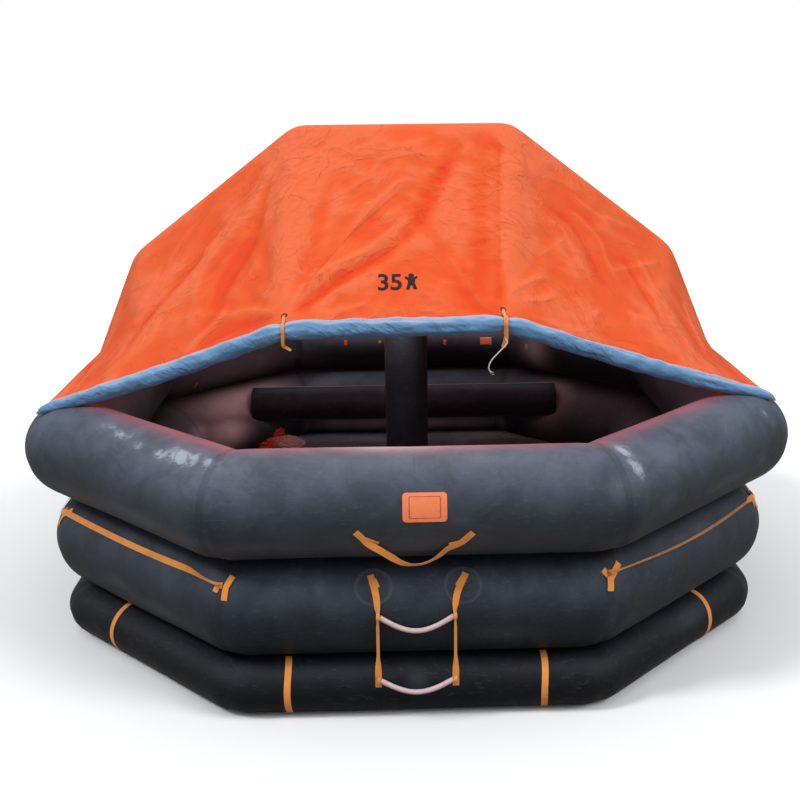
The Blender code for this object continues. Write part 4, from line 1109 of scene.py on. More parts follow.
# broad painted light (change above 0) and painted shade (change below 0), seen from the end: change, half
# width, x and z of each point; a negative width ends hard on its right
paintedShadeStrokes = [
    (-0.5, -0.15, 0.69, 3.36, 0.655, 3.14, 0.625, 2.88, 0.6, 2.59, 0.585, 2.37),
    (0.34, 0.13, 0.86, 3.24, 0.8, 2.96, 0.76, 2.66, 0.68, 2.4),
    (-0.26, 0.12, 0.42, 3.3, 0.22, 3.02, 0.02, 2.76),
    (0.3, 0.15, -0.62, 3.24, -0.66, 2.92, -0.72, 2.62),
    (-0.3, 0.07, -1.06, 2.72, -1.18, 2.48, -1.3, 2.22),
    (-0.2, 0.1, -0.5, 2.34, -0.2, 2.38, 0.05, 2.34),
    (-0.34, 0.045, 0.4, 2.55, 0.4, 2.42, 0.46, 2.33, 0.58, 2.3),
    (-0.3, 0.03, -0.84, 2.27, -1.0, 2.2, -1.16, 2.12),
]


def paintedShadeFrom(grid):
    total = np.zeros(grid.shape[:2])
    points = grid.reshape(-1, 3)
    for sign in (-1, 1):   # both ends, each as seen from outside
        xz = points[:, [0, 2]] * (-sign, 1)
        for change, width, *path in paintedShadeStrokes:
            away, share, side = besidePath(xz, foldPath(path))
            fall = bell(away, abs(width))
            if width < 0:
                fall = np.where(side > 0, fall, bell(away, canopyLook["paintedShadeEdge"]))
            ends = ease(share, 0.0, 0.1) * ease(1 - share, -0.3, 0.1)
            total += (change * fall * ends * (points[:, 1] * sign > 0.1)).reshape(total.shape)
    return total


def paintedFoldShading(grid):
    # 0 in the hollows and 1 on the ridges: each point's height over the cloth around it, with the painted
    #                                       light and shade strokes added; the finish turns it into painted
    #                                       shade and highlight
    heights = []
    for again, share, size in ((6, 0.3, 0.003), (45, 0.7, 0.012)):
        soft = grid.copy()
        for _ in range(again):
            blur(soft)
            blur(soft.swapaxes(0, 1))
        rise = np.einsum("rci,rci->rc", grid - soft, gridNormals(soft))
        heights.append(np.tanh(rise / size) * share)
    total = 0.5 + 0.5 * (heights[0] + heights[1]) + paintedShadeFrom(grid)
    blur(total)
    blur(total.T)
    return total


def buildCanopy():
    grid, lines = canopyGrid()
    u, v = lengths(grid[:, grid.shape[1] // 2]), lengths(grid[len(grid) // 2])
    mesh = meshFromGrid(grid, uv=(u, v))
    addValues(mesh, "ridge", paintedFoldShading(grid))
    for number, (away, strength) in enumerate(lines):
        addValues(mesh, f"line{number}", away)
        addValues(mesh, f"press{number}", strength)
    piece = addPiece("canopy_cloth", faceTo(mesh, (0, 0, 1)), canopyCloth, canopyInner)
    shell = thicken(piece, canopy["thickness"], -1.0)
    shell.material_offset, shell.material_offset_rim = 1, 0
    tree = treeFromMesh(mesh)
    ready(applied(piece), "canopy_fabric", "canopy_front", "canopy_rear")
    return tree, grid


canopyTree, canopyPoints = buildCanopy()


# Arch, pillar, thwarts and floor

inner = dict(pillarRadius=0.162, thwartRadius=0.15, pressed=0.045, thwartY=1.4, thwartZ=0.925,
             around=56, floorThickness=0.18, channel=0.205, channelDip=0.014, sideClear=0.245, lump=0.0022,
             slim=0.994, capEnd=0.12, capShare=0.55)
floorBottom = lowerZ + raft["lowerRadius"] * flat + gap
floorTop = floorBottom + inner["floorThickness"]


def sweepGrid(path, sizes, around, hint, bumps=None):
    # rings square to the path, carried along it without twist
    tangent = unit(np.gradient(path, axis=0))
    side = unit(np.cross(tangent[0], hint))
    rings, sides = [], []
    angle = circle(around)
    for k, point in enumerate(path):
        side = unit(side - tangent[k] * side.dot(tangent[k]))
        lift = np.cross(side, tangent[k])
        ring = np.outer(np.cos(angle), side) + np.outer(np.sin(angle), lift)
        rings.append(point + ring * (sizes[k] if bumps is None else (sizes[k] * bumps[k])[:, None]))
        sides.append(ring)
    return array(rings), array(sides)


def sweepMesh(grid, size):
    u = lengths(grid[:, 0])
    v = np.append(circle(grid.shape[1]), 2 * pi) * size
    return faceOutward(meshFromGrid(grid, False, True, uv=(np.append(u, u[-1]), v), caps=True))


def roundedBends(points, reach, steps):
    # a polyline with each bend turned into a short curve
    made = [points[0]]
    seams = [points[0]]
    for before, here, after in zip(points, points[1:], points[2:]):
        a, b = here + unit(before - here) * reach, here + unit(after - here) * reach
        made += [(1 - t) ** 2 * a + 2 * t * (1 - t) * here + t * t * b for t in linspace(0, 1, steps)]
        seams.append(here)
    made.append(points[-1])
    full = [made[0]]
    for a, b in zip(made, made[1:]):
        count = max(1, int(norm(b - a) / 0.035))
        full += [a + (b - a) * k / count for k in range(1, count + 1)]
    return array(full), array(seams)


def buildArch():
    keys = archCentreLine(archInset)
    lead = unit(array(arch["shoulder"]) - array(archFoot()))
    keys[0] = keys[0] - lead * arch["footDepth"]
    right = [array([k[0], 0.0, k[1]]) for k in keys]
    points = right + [p * (-1, 1, 1) for p in right[::-1]]
    path, seams = roundedBends(points, arch["bend"], 12)
    size = arch["radius"] * arch["slim"]
    sizes = np.full(len(path), size)
    away = np.min(norm(path[:, None] - seams[None, 1:], axis=2), axis=1)
    sizes *= 1 - arch["pinch"] * bell(away, arch["pinchWidth"])
    grid, ring = sweepGrid(path, sizes, arch["around"], array([0.0, 1, 0]))
    fade = bell(away, arch["puckerWidth"])
    wrinkle = np.sin(circle(arch["around"]) * 17 + 1.0)[None] * fade[:, None] * arch["pucker"]
    grid = grid + ring * (lumps(grid, 0.2, 71) * arch["lump"] + wrinkle)[..., None]
    mesh = sweepMesh(grid, size)
    addValues(mesh, "seamOffset", np.repeat(away, arch["around"]))
    return put("arch_tube_round", mesh, shadedInnerRubber, "tube_fabric", "arch_tube")


def domedColumn(name, start, end, radius, dome, seed, node, highlightFacing=None):
    # the last argument is the direction that a painted highlight line along the tube faces
    start, end = array(start, float), array(end, float)
    long = norm(end - start)
    cap = dome * (1 - np.cos(linspace(inner["capEnd"], pi / 2, 9)))
    at = np.concatenate([cap, linspace(dome, long - dome, int(long / 0.045))[1:-1], long - cap[::-1]])
    fromEnd = np.minimum(at, long - at)
    rounded = np.sqrt(np.clip(1 - (1 - np.minimum(fromEnd / dome, 1)) ** 2, 0, 1))
    sizes = radius * (1 - inner["capShare"] * (1 - rounded))
    hint = array([0, 1.0, 0]) if abs(end[2] - start[2]) > 0.5 else array([0, 0, 1.0])
    path = start + np.outer(at / long, end - start)
    grid, ring = sweepGrid(path, sizes, inner["around"], hint)
    grid = grid + ring * (lumps(grid, 0.3, seed) * inner["lump"])[..., None]
    mesh = sweepMesh(grid, radius)
    addValues(mesh, "seamOffset", np.repeat(np.abs(fromEnd - dome - 0.02), inner["around"]))
    if highlightFacing is not None:
        addValues(mesh, "paintedLight", 0.85 * ease(ring @ unit(array(highlightFacing)), 0.972, 0.999))
    return put(name, mesh, shadedInnerRubber, "tube_fabric", node)


def buildFloor():
    half = middleHalf - inner["sideClear"]
    cut = sideLengthHalf(half)
    ys = linspace(-1, 1, 181)
    ys = np.sign(ys) * (1 - (1 - np.abs(ys)) ** 1.15) * half
    xs = linspace(-1, 1, 101)
    xs = np.sign(xs) * (1 - (1 - np.abs(xs)) ** 1.35)
    reachX = np.minimum(half, half - (np.abs(ys) - cut).clip(0))
    x = reachX[:, None] * xs[None]
    y = np.repeat(ys[:, None], len(xs), 1)
    border = np.minimum(np.minimum(half - np.abs(x), half - np.abs(y)),
                        (half + cut - np.abs(x) - np.abs(y)) / sqrt(2)).clip(0)
    rounding = inner["floorThickness"] / 2
    edge = np.sqrt(np.clip(1 - (1 - np.minimum(border / rounding, 1)) ** 2, 0, 1))
    swell = np.abs(np.sin(pi * (y / inner["channel"] + 0.5))) ** 0.45
    middle = (floorBottom + floorTop) / 2
    top = middle + edge * (rounding - inner["channelDip"] * (1 - swell) * ease(border, 0.02, 0.14))
    top += lumps(stack([x, y, top], 2), 0.4, 81) * 0.003 * edge
    low = middle - edge * (rounding - inner["channelDip"] * (1 - swell))
    upper, lower = stack([x, y, top], 2), stack([x, y, low], 2)
    mesh = meshFromGrid(upper, uv=(ys, xs * half))
    under = meshFromGrid(lower, uv=(ys, xs * half))
    under.flip_normals()
    bm = bmesh.new()
    bm.from_mesh(mesh)
    bm.from_mesh(under)
    bmesh.ops.remove_doubles(bm, verts=bm.verts, dist=0.0002)
    bmesh.ops.dissolve_degenerate(bm, edges=bm.edges, dist=0.00005)
    bm.to_mesh(mesh)
    bm.free()
    mesh.shade_smooth()
    addValues(mesh, "seamOffset", np.full(len(mesh.vertices), 9.0))
    return put("floor_pad", faceOutward(mesh), floorRubber, "tube_fabric", "floor_mattress")


buildArch()
archUnder = arch["top"][1] - gap - 2 * arch["radius"] * archFlat
domedColumn("pillar_round", (0, 0, floorTop + 0.0005), (0, 0, archUnder + 0.05),
            inner["pillarRadius"] * inner["slim"], 0.035, 91, "centre_pillar")
for label, sign in (("front", -1), ("rear", 1)):
    y, z = sign * inner["thwartY"], inner["thwartZ"]
    # its ends press into the side tubes
    reach = tubeTrees["middle"].ray_cast(Vector((0, y, z)), Vector((1, 0, 0)))[0].x + inner["pressed"]
    domedColumn("thwart_round_" + label, (-reach, y, z), (reach, y, z), inner["thwartRadius"] * inner["slim"],
                0.022, 95 + sign, "thwart_" + label, (0, sign * 0.3, 1))
buildFloor()
print("arch, pillar, thwarts and floor ready")


# Loose gear on the floor: an orange pouch, a small one and a pale cloth, all crumpled

gear = [("gear_pouch_flat", (-1.27, 1.45, 0.016), (0.16, 0.105, 0.056), 201),
        ("gear_pouch_orange", (-1.18, 1.5, 0.1), (0.086, 0.066, 0.056), 207),
        ("gear_cloth_pale", (-1.07, 1.43, 0.01), (0.135, 0.095, 0.05), 213)]


def buildGear(name, centre, size, seed, finish):
    down, rounding = np.meshgrid(linspace(0.06, pi - 0.06, 44), circle(72), indexing="ij")
    ball = stack([np.sin(down) * np.cos(rounding), np.sin(down) * np.sin(rounding), np.cos(down)], 2)
    reach = 1 + lumps(ball, 0.7, seed) * 0.22 + (0.5 - np.abs(lumps(ball, 0.42, seed + 1))) * 0.34
    reach += ((0.5 - np.abs(lumps(ball * (1, 1, 1.6), 0.19, seed + 2))) * 0.34
              + (0.5 - np.abs(lumps(ball, 0.09, seed + 3))) * 0.12)
    grid = ball * array(size) * reach[..., None] + array([centre[0], centre[1], floorTop + centre[2]])
    grid[..., 2] = np.maximum(grid[..., 2], floorTop - 0.006)
    mesh = meshFromGrid(grid, False, True, caps=True)
    put(name, faceOutward(mesh), finish, None)


for (name, centre, size, seed), finish in zip(gear, (gearOrange, gearOrange, gearPale)):
    buildGear(name, centre, size, seed, finish)
print("loose gear ready")


# Rolled curtain under each hem

roll = dict(radius=0.058, tipRadius=0.03, around=44, spacing=0.014, spirals=0.155, fold=0.09, sharpFold=0.045,
            pinch=0.2, pinchWidth=0.035, flareWidth=0.12, keepShape=(0.8, 1.14), softer=30)


def rollPath():
    footX, footZ = archFoot()

    def halfPath(tie, sign):
        hemEnd, tie = array([footX * sign, -canopy["hemEndY"], footZ]), array(tie)
        made = []
        for angle, radius in ((38, 0.6 * roll["tipRadius"]), (24, roll["tipRadius"])):
            lean = radians(angle)
            reach = raft["upperRadius"] + 0.5 * radius
            made.append((array([(acrossHalf + reach * sin(lean)) * sign, -canopy["hemEndY"] - 0.055,
                                   upperZ + reach * cos(lean)]), radius))
        for share, part, away in ((0.02, 0.72, (0, -1.0, -0.05)), (0.08, 0.8, (0, -1.0, -0.2)),
                                  (0.16, 0.9, (0, -0.75, -0.3)), (0.5, 1.0, (0, -0.55, -0.8)),
                                  (1.0, 1.0, (0, -0.5, -0.84))):
            radius = part * roll["radius"]
            made.append((hemEnd + (tie - hemEnd) * share + unit(array(away)) * (0.95 * radius), radius))
        return made

    both = [*halfPath(canopy["tieLeft"], -1), *halfPath(canopy["tieRight"], 1)[::-1]]
    return array([p for p, _ in both]), array([r for _, r in both])


def buildRoll():
    points, radii = rollPath()
    run = lengths(points)
    at = np.arange(0, run[-1], roll["spacing"])
    path = stack([np.interp(at, run, points[:, k]) for k in range(3)], 1)
    size = np.interp(at, run, radii)
    for _ in range(roll["softer"]):   # softens the bends at the ties
        blur(path)
        blur(size)
    s, a = at[:, None], circle(roll["around"])[None]
    drift = lumps(stack([at, at * 0, at * 0], 1), 0.5, 31)[:, None]
    helix = np.sin(a * 1.0 + s / roll["spirals"] * 2.0 + drift * 3.0)
    sharp = np.sin(a * 2.0 - s / roll["spirals"] * 3.2 + drift * 5.0)
    shape = 1.0 + roll["fold"] * (1 - np.abs(helix) ** 0.6 * 1.2) * 0.8
    shape = shape + roll["sharpFold"] * np.sign(sharp) * np.abs(sharp) ** 1.6
    ring = stack([np.cos(a) + 0 * s, np.sin(a) + 0 * s, s * 1.6 + 0 * a], 2)
    shape += lumps(ring, 0.5, 33) * 0.1 + lumps(ring * (1, 1, 2.4), 0.28, 34) * 0.045
    for tie in (canopy["tieLeft"], canopy["tieRight"]):
        near, wide = (bell(path[:, 0] - tie[0], roll[reach])[:, None]
                      for reach in ("pinchWidth", "flareWidth"))
        shape = shape * (1 - roll["pinch"] * near) + near * 0.06 * np.sin(a * 9)
        shape += 0.04 * np.sin(a * 7 + 1) * wide
    size = size * ease(at, -0.02, 0.05) * ease(at[-1] - at, -0.02, 0.05)
    grid, _ = sweepGrid(path, size * 0.985, roll["around"], array([0.0, 0, 1]),
                        np.clip(shape, *roll["keepShape"]))
    return sweepMesh(grid, roll["radius"])


rollMesh = buildRoll()
put("rolled_curtain_front", rollMesh, liningCloth, "lining_fabric", "curtain_roll_front")
put("rolled_curtain_rear", turnedMesh(rollMesh), liningCloth, "lining_fabric", "curtain_roll_rear")
print("rolled curtains ready")


# Webbing: bands with rounded edges, laid on the tubes

belt = dict(width=0.04, thickness=0.0026, lift=0.0006)


def bandMesh(path, sides, widths, thickness=belt["thickness"]):
    path, sides = array(path, float), unit(array(sides, float))
    widths = np.full(len(path), widths) if np.isscalar(widths) else array(widths)
    tangent = unit(np.gradient(path, axis=0))
    sides = unit(sides - tangent * np.einsum("ij,ij->i", sides, tangent)[:, None])
    normal = np.cross(sides, tangent)
    across = array([-0.5, -0.485, -0.25, 0, 0.25, 0.485, 0.5, 0.485, 0.25, 0, -0.25, -0.485])
    up = array([0.5, 0.95, 1.0, 1.0, 1.0, 0.95, 0.5, 0.05, 0, 0, 0, 0.05]) * thickness
    grid = path[:, None] + sides[:, None] * (across[None, :, None] * widths[:, None, None])
    grid = grid + normal[:, None] * up[None, :, None]
    v = np.concatenate([[0], np.cumsum(np.abs(np.diff(np.append(across, across[0]))))]) * belt["width"]
    run = lengths(path)
    mesh = meshFromGrid(grid, False, True, uv=(np.append(run, run[-1]), v), caps=True)
    return faceOutward(mesh)


def joined(name, meshes, finish):
    whole = merged(name, meshes)
    whole.set_sharp_from_angle(angle=radians(50))
    return addPiece(name, whole, finish)


def denser(points, step=0.008):
    points = array(points, float)
    run = lengths(points)
    at = linspace(0, run[-1], max(4, int(run[-1] / step)))
    return stack([np.interp(at, run, column) for column in points.T], 1)


def laidBand(tree, points, width, lift=belt["lift"]):
    # a band glued on a tube along the given points
    points = denser(smoothPath(points, 6))
    path = restOn(tree, points, lift)
    normals = restOn(tree, points, 1.0) - restOn(tree, points, 0.0)
    return bandMesh(path, np.cross(np.gradient(path, axis=0), normals), width)


def twistedSides(path, radial, twist):
    # across the path and square to the radial direction, then turned by the twist
    tangent = unit(np.gradient(path, axis=0))
    side = unit(np.cross(tangent, radial))
    return side * np.cos(twist)[:, None] + np.cross(side, tangent) * np.sin(twist)[:, None]


# the glued points as (along, angle, lift), the loose ones as (x, z); the twist turns the broad side
# to the front left of the middle and the edge to the front right of it
grab = dict(gluedLeft=[(-0.336, 101.5, 0.002), (-0.301, 108.5, 0.003), (-0.268, 115.5, 0.01),
                       (-0.207, 122.0, 0.024)],
            gluedRight=[(0.176, 126.5, 0.012), (0.212, 122.0, 0.008), (0.262, 116.5, 0.003),
                        (0.322, 104.5, 0.002)],
            loose=[(-0.135, 1.094), (-0.075, 1.059), (-0.011, 1.047), (0.056, 1.058), (0.125, 1.094)],
            bottomY=0.235,
            tabs=[[(-0.285, 110.5), (-0.214, 117.5)], [(0.246, 118.0), (0.19, 121.0)]],
            twistAt=[0, 0.08, 0.2, 0.34, 0.5, 0.62, 0.75, 0.81, 0.9, 1.0],
            twist=[0, 0.05, 0.6, 0.9, 0.02, -0.05, -0.12, 0.15, 0.12, 0])


def buildGrab():
    path = [onTube(upperTube, 0, *spot) for spot in grab["gluedLeft"]]
    path += [array([x, -acrossHalf - grab["bottomY"], z]) for x, z in grab["loose"]]
    path += [onTube(upperTube, 0, *spot) for spot in grab["gluedRight"]]
    path = denser(smoothPath(path, 6))
    share = lengths(path) / lengths(path)[-1]
    radial = unit(path * (0, 1, 1) + array([0, acrossHalf, -upperZ]))
    sides = twistedSides(path, radial, np.interp(share, grab["twistAt"], grab["twist"]))
    main = bandMesh(path, sides, belt["width"])
    tabs = []
    for line in grab["tabs"]:
        line = [onTube(upperTube, 0, x, angle, 0.006) for x, angle in line]
        tabs.append(laidBand(tubeTrees["upper"], line, belt["width"] * 0.92, 0.0042))
    return joined("hand_strap_front", [main, *tabs], webbing)


# glued: share of the way from topX to the straight part, angle, lift
ladder = dict(leftX=-0.227, rightX=0.23, topLeft=-0.264, topRight=0.295, width=0.024, rungRadius=0.016,
              rungs=[("upper", 0.707, 0.09), ("lower", 0.3, 0.08)], clear=0.0028, offTube=0.005,
              glued=((0.0, 49.5, 0.003), (0.4, 57.5, 0.003), (0.8, 67.0, 0.0035), (1.0, 77.0, 0.005),
                     (1.0, 88.0, 0.006)), looseHeights=(0.58, 0.48, 0.4, 0.33, 0.25))


def buildLadderStrap(name, topX, lowX):
    lean = 1 if topX < lowX else -1
    front = -middleHalf - raft["middleRadius"] - ladder["offTube"]
    path = [onTube(middleTube, 0, topX + (lowX - topX) * share, angle, lift)
            for share, angle, lift in ladder["glued"]]
    path += [array([lowX, front, z]) for z in (middleZ - 0.05, *ladder["looseHeights"])]
    path = denser(smoothPath(path, 6))
    for k, point in enumerate(path):   # never inside the tube
        spot, normal, _, _ = tubeTrees["middle"].find_nearest(Vector(point))
        if (Vector(point) - spot).dot(normal) < ladder["clear"]:
            path[k] = array(spot + normal * ladder["clear"])
    share = lengths(path) / lengths(path)[-1]
    twist = 1.0 * ease(share, 0.23, 0.39) * (1 - ease(share, 0.7, 0.86)) * lean
    side = stack([np.cos(twist), -np.sin(twist), 0 * twist], 1)
    width = belt["width"] * (1 - 0.2 * ease(share, 0.18, 0.36) * (1 - 0.9 * ease(share, 0.72, 0.9)))
    main = bandMesh(path, side, width)
    tail = [onTube(middleTube, 0, topX + 0.018 * lean, 54.0, 0.006),
            onTube(middleTube, 0, topX * 0.55 + lowX * 0.45 + 0.02 * lean, 62.0, 0.006)]
    tab = laidBand(tubeTrees["middle"], tail, belt["width"] * 0.95, 0.0058)
    loops = []
    for _, height, _ in ladder["rungs"]:
        loop = []
        for a in np.arange(13) / 12 * 1.7 * pi - 0.85 * pi:   # each rung's end sits in a small loop
            r = ladder["rungRadius"] + 0.003
            loop.append(array([lowX + lean * 0.004, front - 0.014 - r * cos(a), height - r * sin(a) * 1.1]))
        loop = denser(loop, 0.006)
        loops.append(bandMesh(loop, [(1.0, 0, 0)] * len(loop), 0.022, 0.002))
    return joined(name, [main, tab, *loops], webbing)


# on the slack sides the lifeline hangs and has turned on its edge;
# on the edge sides it turns towards the folded anchor
lifeline = dict(slackSides=(1, 5), edgeSides=(3, 7), angle=53.0, droop=3.0, slackDroop=8.0, endDrop=3.0,
                shortBy=0.012,
                lift=0.0015, standOff=0.009, ripple=0.0015, wobble=0.22, slackTwist=1.12, edgeTwist=1.05)


def buildLifeline(name, side):
    slackSide, edgeSide = side in lifeline["slackSides"], side in lifeline["edgeSides"]
    rows = []
    for t in linspace(0, 1, 60):
        slack = sin(pi * t)
        angle = lifeline["angle"] + lifeline["slackDroop" if slackSide else "droop"] * slack
        if edgeSide:
            angle += lifeline["endDrop"] * float(ease(t, 0.8, 1.0))
        end = sideReach(middleTube, side, angle) - lifeline["shortBy"]
        standOff = lifeline["lift"] + lifeline["standOff"] * slack + lifeline["ripple"] * sin(t * 37 + side)
        rows.append(onTube(middleTube, side, end * (2 * t - 1), angle, standOff))
    rows = array(rows)
    lean = radians(54.0)
    radial = sideAxes(side)[0] * sin(lean) + array([0, 0, cos(lean)])
    share = linspace(0, 1, len(rows))
    twist = lifeline["wobble"] * np.sin(share * 9.0 + side * 1.7) * np.sin(pi * share)
    if slackSide:
        twist = lifeline["slackTwist"] * ease(share, -0.05, 0.06) * (1 - ease(share, 0.9, 1.0))
    if edgeSide:
        twist = twist + lifeline["edgeTwist"] * ease(share, 0.72, 0.97)
    return joined(name, [bandMesh(rows, twistedSides(rows, radial, twist), belt["width"])], webbing)


# pieces of a corner anchor: points as (offset past the seam, angle), share of the width, lift
anchorPieces = dict(
    folded=[([(0.062, 47.5), (0.046, 53.0), (0.03, 59.0)], 1.0, 0.0046),
            ([(0.031, 58.0), (0.032, 64.0), (0.034, 70.5)], 1.05, 0.002),
            ([(0.004, 55.5), (-0.018, 56.5), (-0.03, 58.0)], 0.9, 0.005),
            ([(-0.025, 57.5), (-0.03, 60.5), (-0.036, 63.5)], 0.85, 0.002)],
    forked=[([(0.112, 48.5), (0.07, 52.5), (0.022, 57.5)], 1.0, 0.0042),
            ([(-0.016, 48.5), (0.004, 53.5), (0.02, 58.5)], 1.0, 0.002),
            ([(0.018, 56.5), (0.006, 63.0), (-0.002, 70.0)], 1.05, 0.006)])


def buildAnchor(name, corner):
    # short webbing ends over a mitre seam, that hold the lifelines
    tree = tubeTrees["middle"]

    def spot(offset, angle):
        side = corner if offset <= 0 else corner + 1
        reach = sideReach(middleTube, side, angle)
        return onTube(middleTube, side, reach + offset if offset <= 0 else offset - reach, angle, 0.003)

    pieces = anchorPieces["folded" if corner % 2 else "forked"]
    return joined(name, [laidBand(tree, [spot(*point) for point in points], belt["width"] * share, lift)
                         for points, share, lift in pieces], webbing)


def buildLowerStrap(name, side, along):
    angles = linspace(6, 146, 14)
    points = [onTube(lowerTube, side, along + 0.004 * sin(a * 0.05), a, 0.0015) for a in angles]
    return joined(name, [laidBand(tubeTrees["lower"], points, belt["width"])], webbing)


doubler = dict(radius=0.115, thickness=0.0016, places=((-0.247, 61.0), (0.275, 61.0)))


def buildDoublers():
    # round patches of tube rubber that back the ladder's ends
    made = []
    around = circle(56)
    for x, angle in doubler["places"]:
        rings = []
        for share, lift in ((0.02, 1.0), (0.4, 1.0), (0.76, 1.0), (0.84, 1.0), (0.93, 1.0), (0.985, 0.9),
                            (1.0, 0.1)):
            r = doubler["radius"] * share
            flatPoints = [(r * cos(a), r * sin(a)) for a in around]
            placed = [onTube(middleTube, 0, x + p[0], angle - degrees(p[1] / middleTube[0]))
                      for p in flatPoints]
            rings.append(restOn(tubeTrees["middle"], placed, doubler["thickness"] * lift))
        mesh = faceTo(meshFromGrid(array(rings), False, True), (0, -1, 0))
        addValues(mesh, "seamOffset", np.full(len(mesh.vertices), 9.0))
        # painted highlight along the patch's raised edge
        addValues(mesh, "paintedLight", np.repeat([0, 0, 0, 0.035, 0.05, 0.04, 0.02], 56))
        made.append(mesh)
    whole = merged("doublers", made + [turnedMesh(m) for m in made])
    put("ladder_doublers", whole, doublerRubber, "tube_fabric")


buildDoublers()
strap = buildGrab()
ready(strap, "webbing", "grab_strap_front")
rearCopy(strap, "hand_strap_rear", "webbing", "grab_strap_rear")
for label, other, topX, lowX in (("left", "right", ladder["topLeft"], ladder["leftX"]),
                                 ("right", "left", ladder["topRight"], ladder["rightX"])):
    strap = ready(buildLadderStrap("ladder_band_front_" + label, topX, lowX), "webbing",
                  "ladder_strap_front_" + label)
    rearCopy(strap, "ladder_band_rear_" + other, "webbing", "ladder_strap_rear_" + other)
sideNames = ("front", "front_right", "right", "rear_right", "rear", "rear_left", "left", "front_left")
for side, label in enumerate(sideNames):
    ready(buildAnchor("anchor_" + str(side + 1), side), "webbing", "corner_patch_" + str(side + 1))
    if label not in ("front", "rear"):
        ready(buildLifeline("lifeline_band_" + label, side), "webbing", "lifeline_" + label)
    if label in ("front", "rear"):
        for number, along in ((1, -0.77), (2, 0.77)):
            ready(buildLowerStrap(f"lower_band_{label}_{number}", side, along), "webbing",
                  f"lower_strap_{label}_{number}")
    elif side % 2:
        ready(buildLowerStrap("lower_band_" + label, side, 0.31 if side in (1, 5) else -0.31), "webbing",
              "lower_strap_" + label)
print("webbing ready")


# Repeated small things made with Geometry Nodes

def endTree(tree, shape, finish, result):
    real = outputOf(tree, "GeometryNodeRealizeInstances", {0: shape})
    smooth = outputOf(tree, "GeometryNodeSetShadeSmooth", {0: real})
    done = outputOf(tree, "GeometryNodeSetMaterial", {"Geometry": smooth, "Material": finish})
    feed(result["Geometry"], done)
    return tree


def activeOutput(node):
    return next(s for s in node.outputs if s.enabled)


def makeStitchTree():
    # short raised threads along every edge line of the input
    tree, given, result = newGroup(
        "stitch_row", "GeometryNodeTree",
        [("Geometry", "Geometry"), ("Spacing", "Float", 0.009), ("Thread length", "Float", 0.006),
         ("Thread radius", "Float", 0.0007), ("Unevenness", "Float", 0.15), ("Finish", "Material")],
        [("Geometry", "Geometry")])
    line = outputOf(tree, "GeometryNodeMeshToCurve", {0: given["Geometry"]})
    points = outputOf(tree, "GeometryNodeResampleCurve", {"Curve": line, "Length": given["Spacing"]},
                      mode="LENGTH")
    heading = outputOf(tree, "GeometryNodeInputTangent")
    rotation = outputOf(tree, "FunctionNodeAlignEulerToVector", {"Vector": heading}, axis="Z")
    thread = outputOf(tree, "GeometryNodeMeshUVSphere", {"Segments": 6, "Rings": 4, "Radius": 0.5})
    across = times(given["Thread radius"], 2.0)
    size = outputOf(tree, "CombineXYZ", {0: across, 1: across, 2: given["Thread length"]})
    uneven = addNode(tree, "FunctionNodeRandomValue", {"Min": 0.0, "Max": 1.0, "Seed": 4}, data_type="FLOAT")
    factor = minus(1.0, times(activeOutput(uneven), given["Unevenness"]))
    scaled = outputOf(tree, "VectorMath", {0: size, "Scale": factor}, operation="SCALE")
    feeds = {"Points": points, "Instance": thread, "Rotation": rotation, "Scale": scaled}
    placed = outputOf(tree, "GeometryNodeInstanceOnPoints", feeds)
    return endTree(tree, placed, given["Finish"], result)


def makeTubeTree():
    # a round tube along the input's edge line; the radius at each point comes from the attribute "thick"
    tree, given, result = newGroup(
        "round_tube", "GeometryNodeTree",
        [("Geometry", "Geometry"), ("Radius", "Float", 0.016), ("Around", "Int", 16), ("Finish", "Material")],
        [("Geometry", "Geometry")])
    line = outputOf(tree, "GeometryNodeMeshToCurve", {0: given["Geometry"]})
    thick = addNode(tree, "GeometryNodeInputNamedAttribute", {"Name": "thick"}, data_type="FLOAT")
    thickValue = activeOutput(thick)
    sized = outputOf(tree, "GeometryNodeSetCurveRadius", {"Curve": line, "Radius": thickValue})
    feeds = {"Resolution": given["Around"], "Radius": given["Radius"]}
    ring = outputOf(tree, "GeometryNodeCurvePrimitiveCircle", feeds)
    feeds = {"Curve": sized, "Profile Curve": ring, "Fill Caps": True}
    swept = addNode(tree, "GeometryNodeCurveToMesh", feeds)
    if "Scale" in swept.inputs:
        feed(swept.inputs["Scale"], thickValue)
    return endTree(tree, swept.outputs[0], given["Finish"], result)


stitchTree = makeStitchTree()
tubeTree = makeTubeTree()


def lineMesh(lines, thick=None):
    points, edges = [], []
    for line in lines:
        first = len(points)
        points += [tuple(float(c) for c in p) for p in line]
        edges += [(first + k, first + k + 1) for k in range(len(line) - 1)]
    mesh = bpy.data.meshes.new("lines")
    mesh.from_pydata(points, edges, [])
    if thick is not None:
        addValues(mesh, "thick", thick)
    return mesh


def grown(name, mesh, tree, finish, **values):
    piece = addPiece(name, mesh)
    step = piece.modifiers.new("grow", "NODES")
    step.node_group = tree
    names = {item.name: item.identifier for item in tree.interface.items_tree if item.in_out == "INPUT"}
    for key, value in {**values, "Finish": finish}.items():
        step[names[key.replace("_", " ")]] = value
    applied(piece)
    return piece


def tubeAlong(name, path, finish, radius, around, thick=None):
    mesh = lineMesh([path], np.ones(len(path)) if thick is None else thick)
    piece = grown(name, mesh, tubeTree, finish, Radius=radius, Around=around)
    faceOutward(piece.data)
    return piece


thread = dict(spacing=0.0085, length=0.0062, radius=0.0008)
threadFinish = simpleFinish("pale_thread", (0.8, 0.42, 0.14), (0.7, 0.34, 0.1), 0.7, 60.0, 0.0003)
canopyThread = simpleFinish("canopy_thread", (0.72, 0.1, 0.035), (0.62, 0.08, 0.03), 0.7, 60.0, 0.0003)


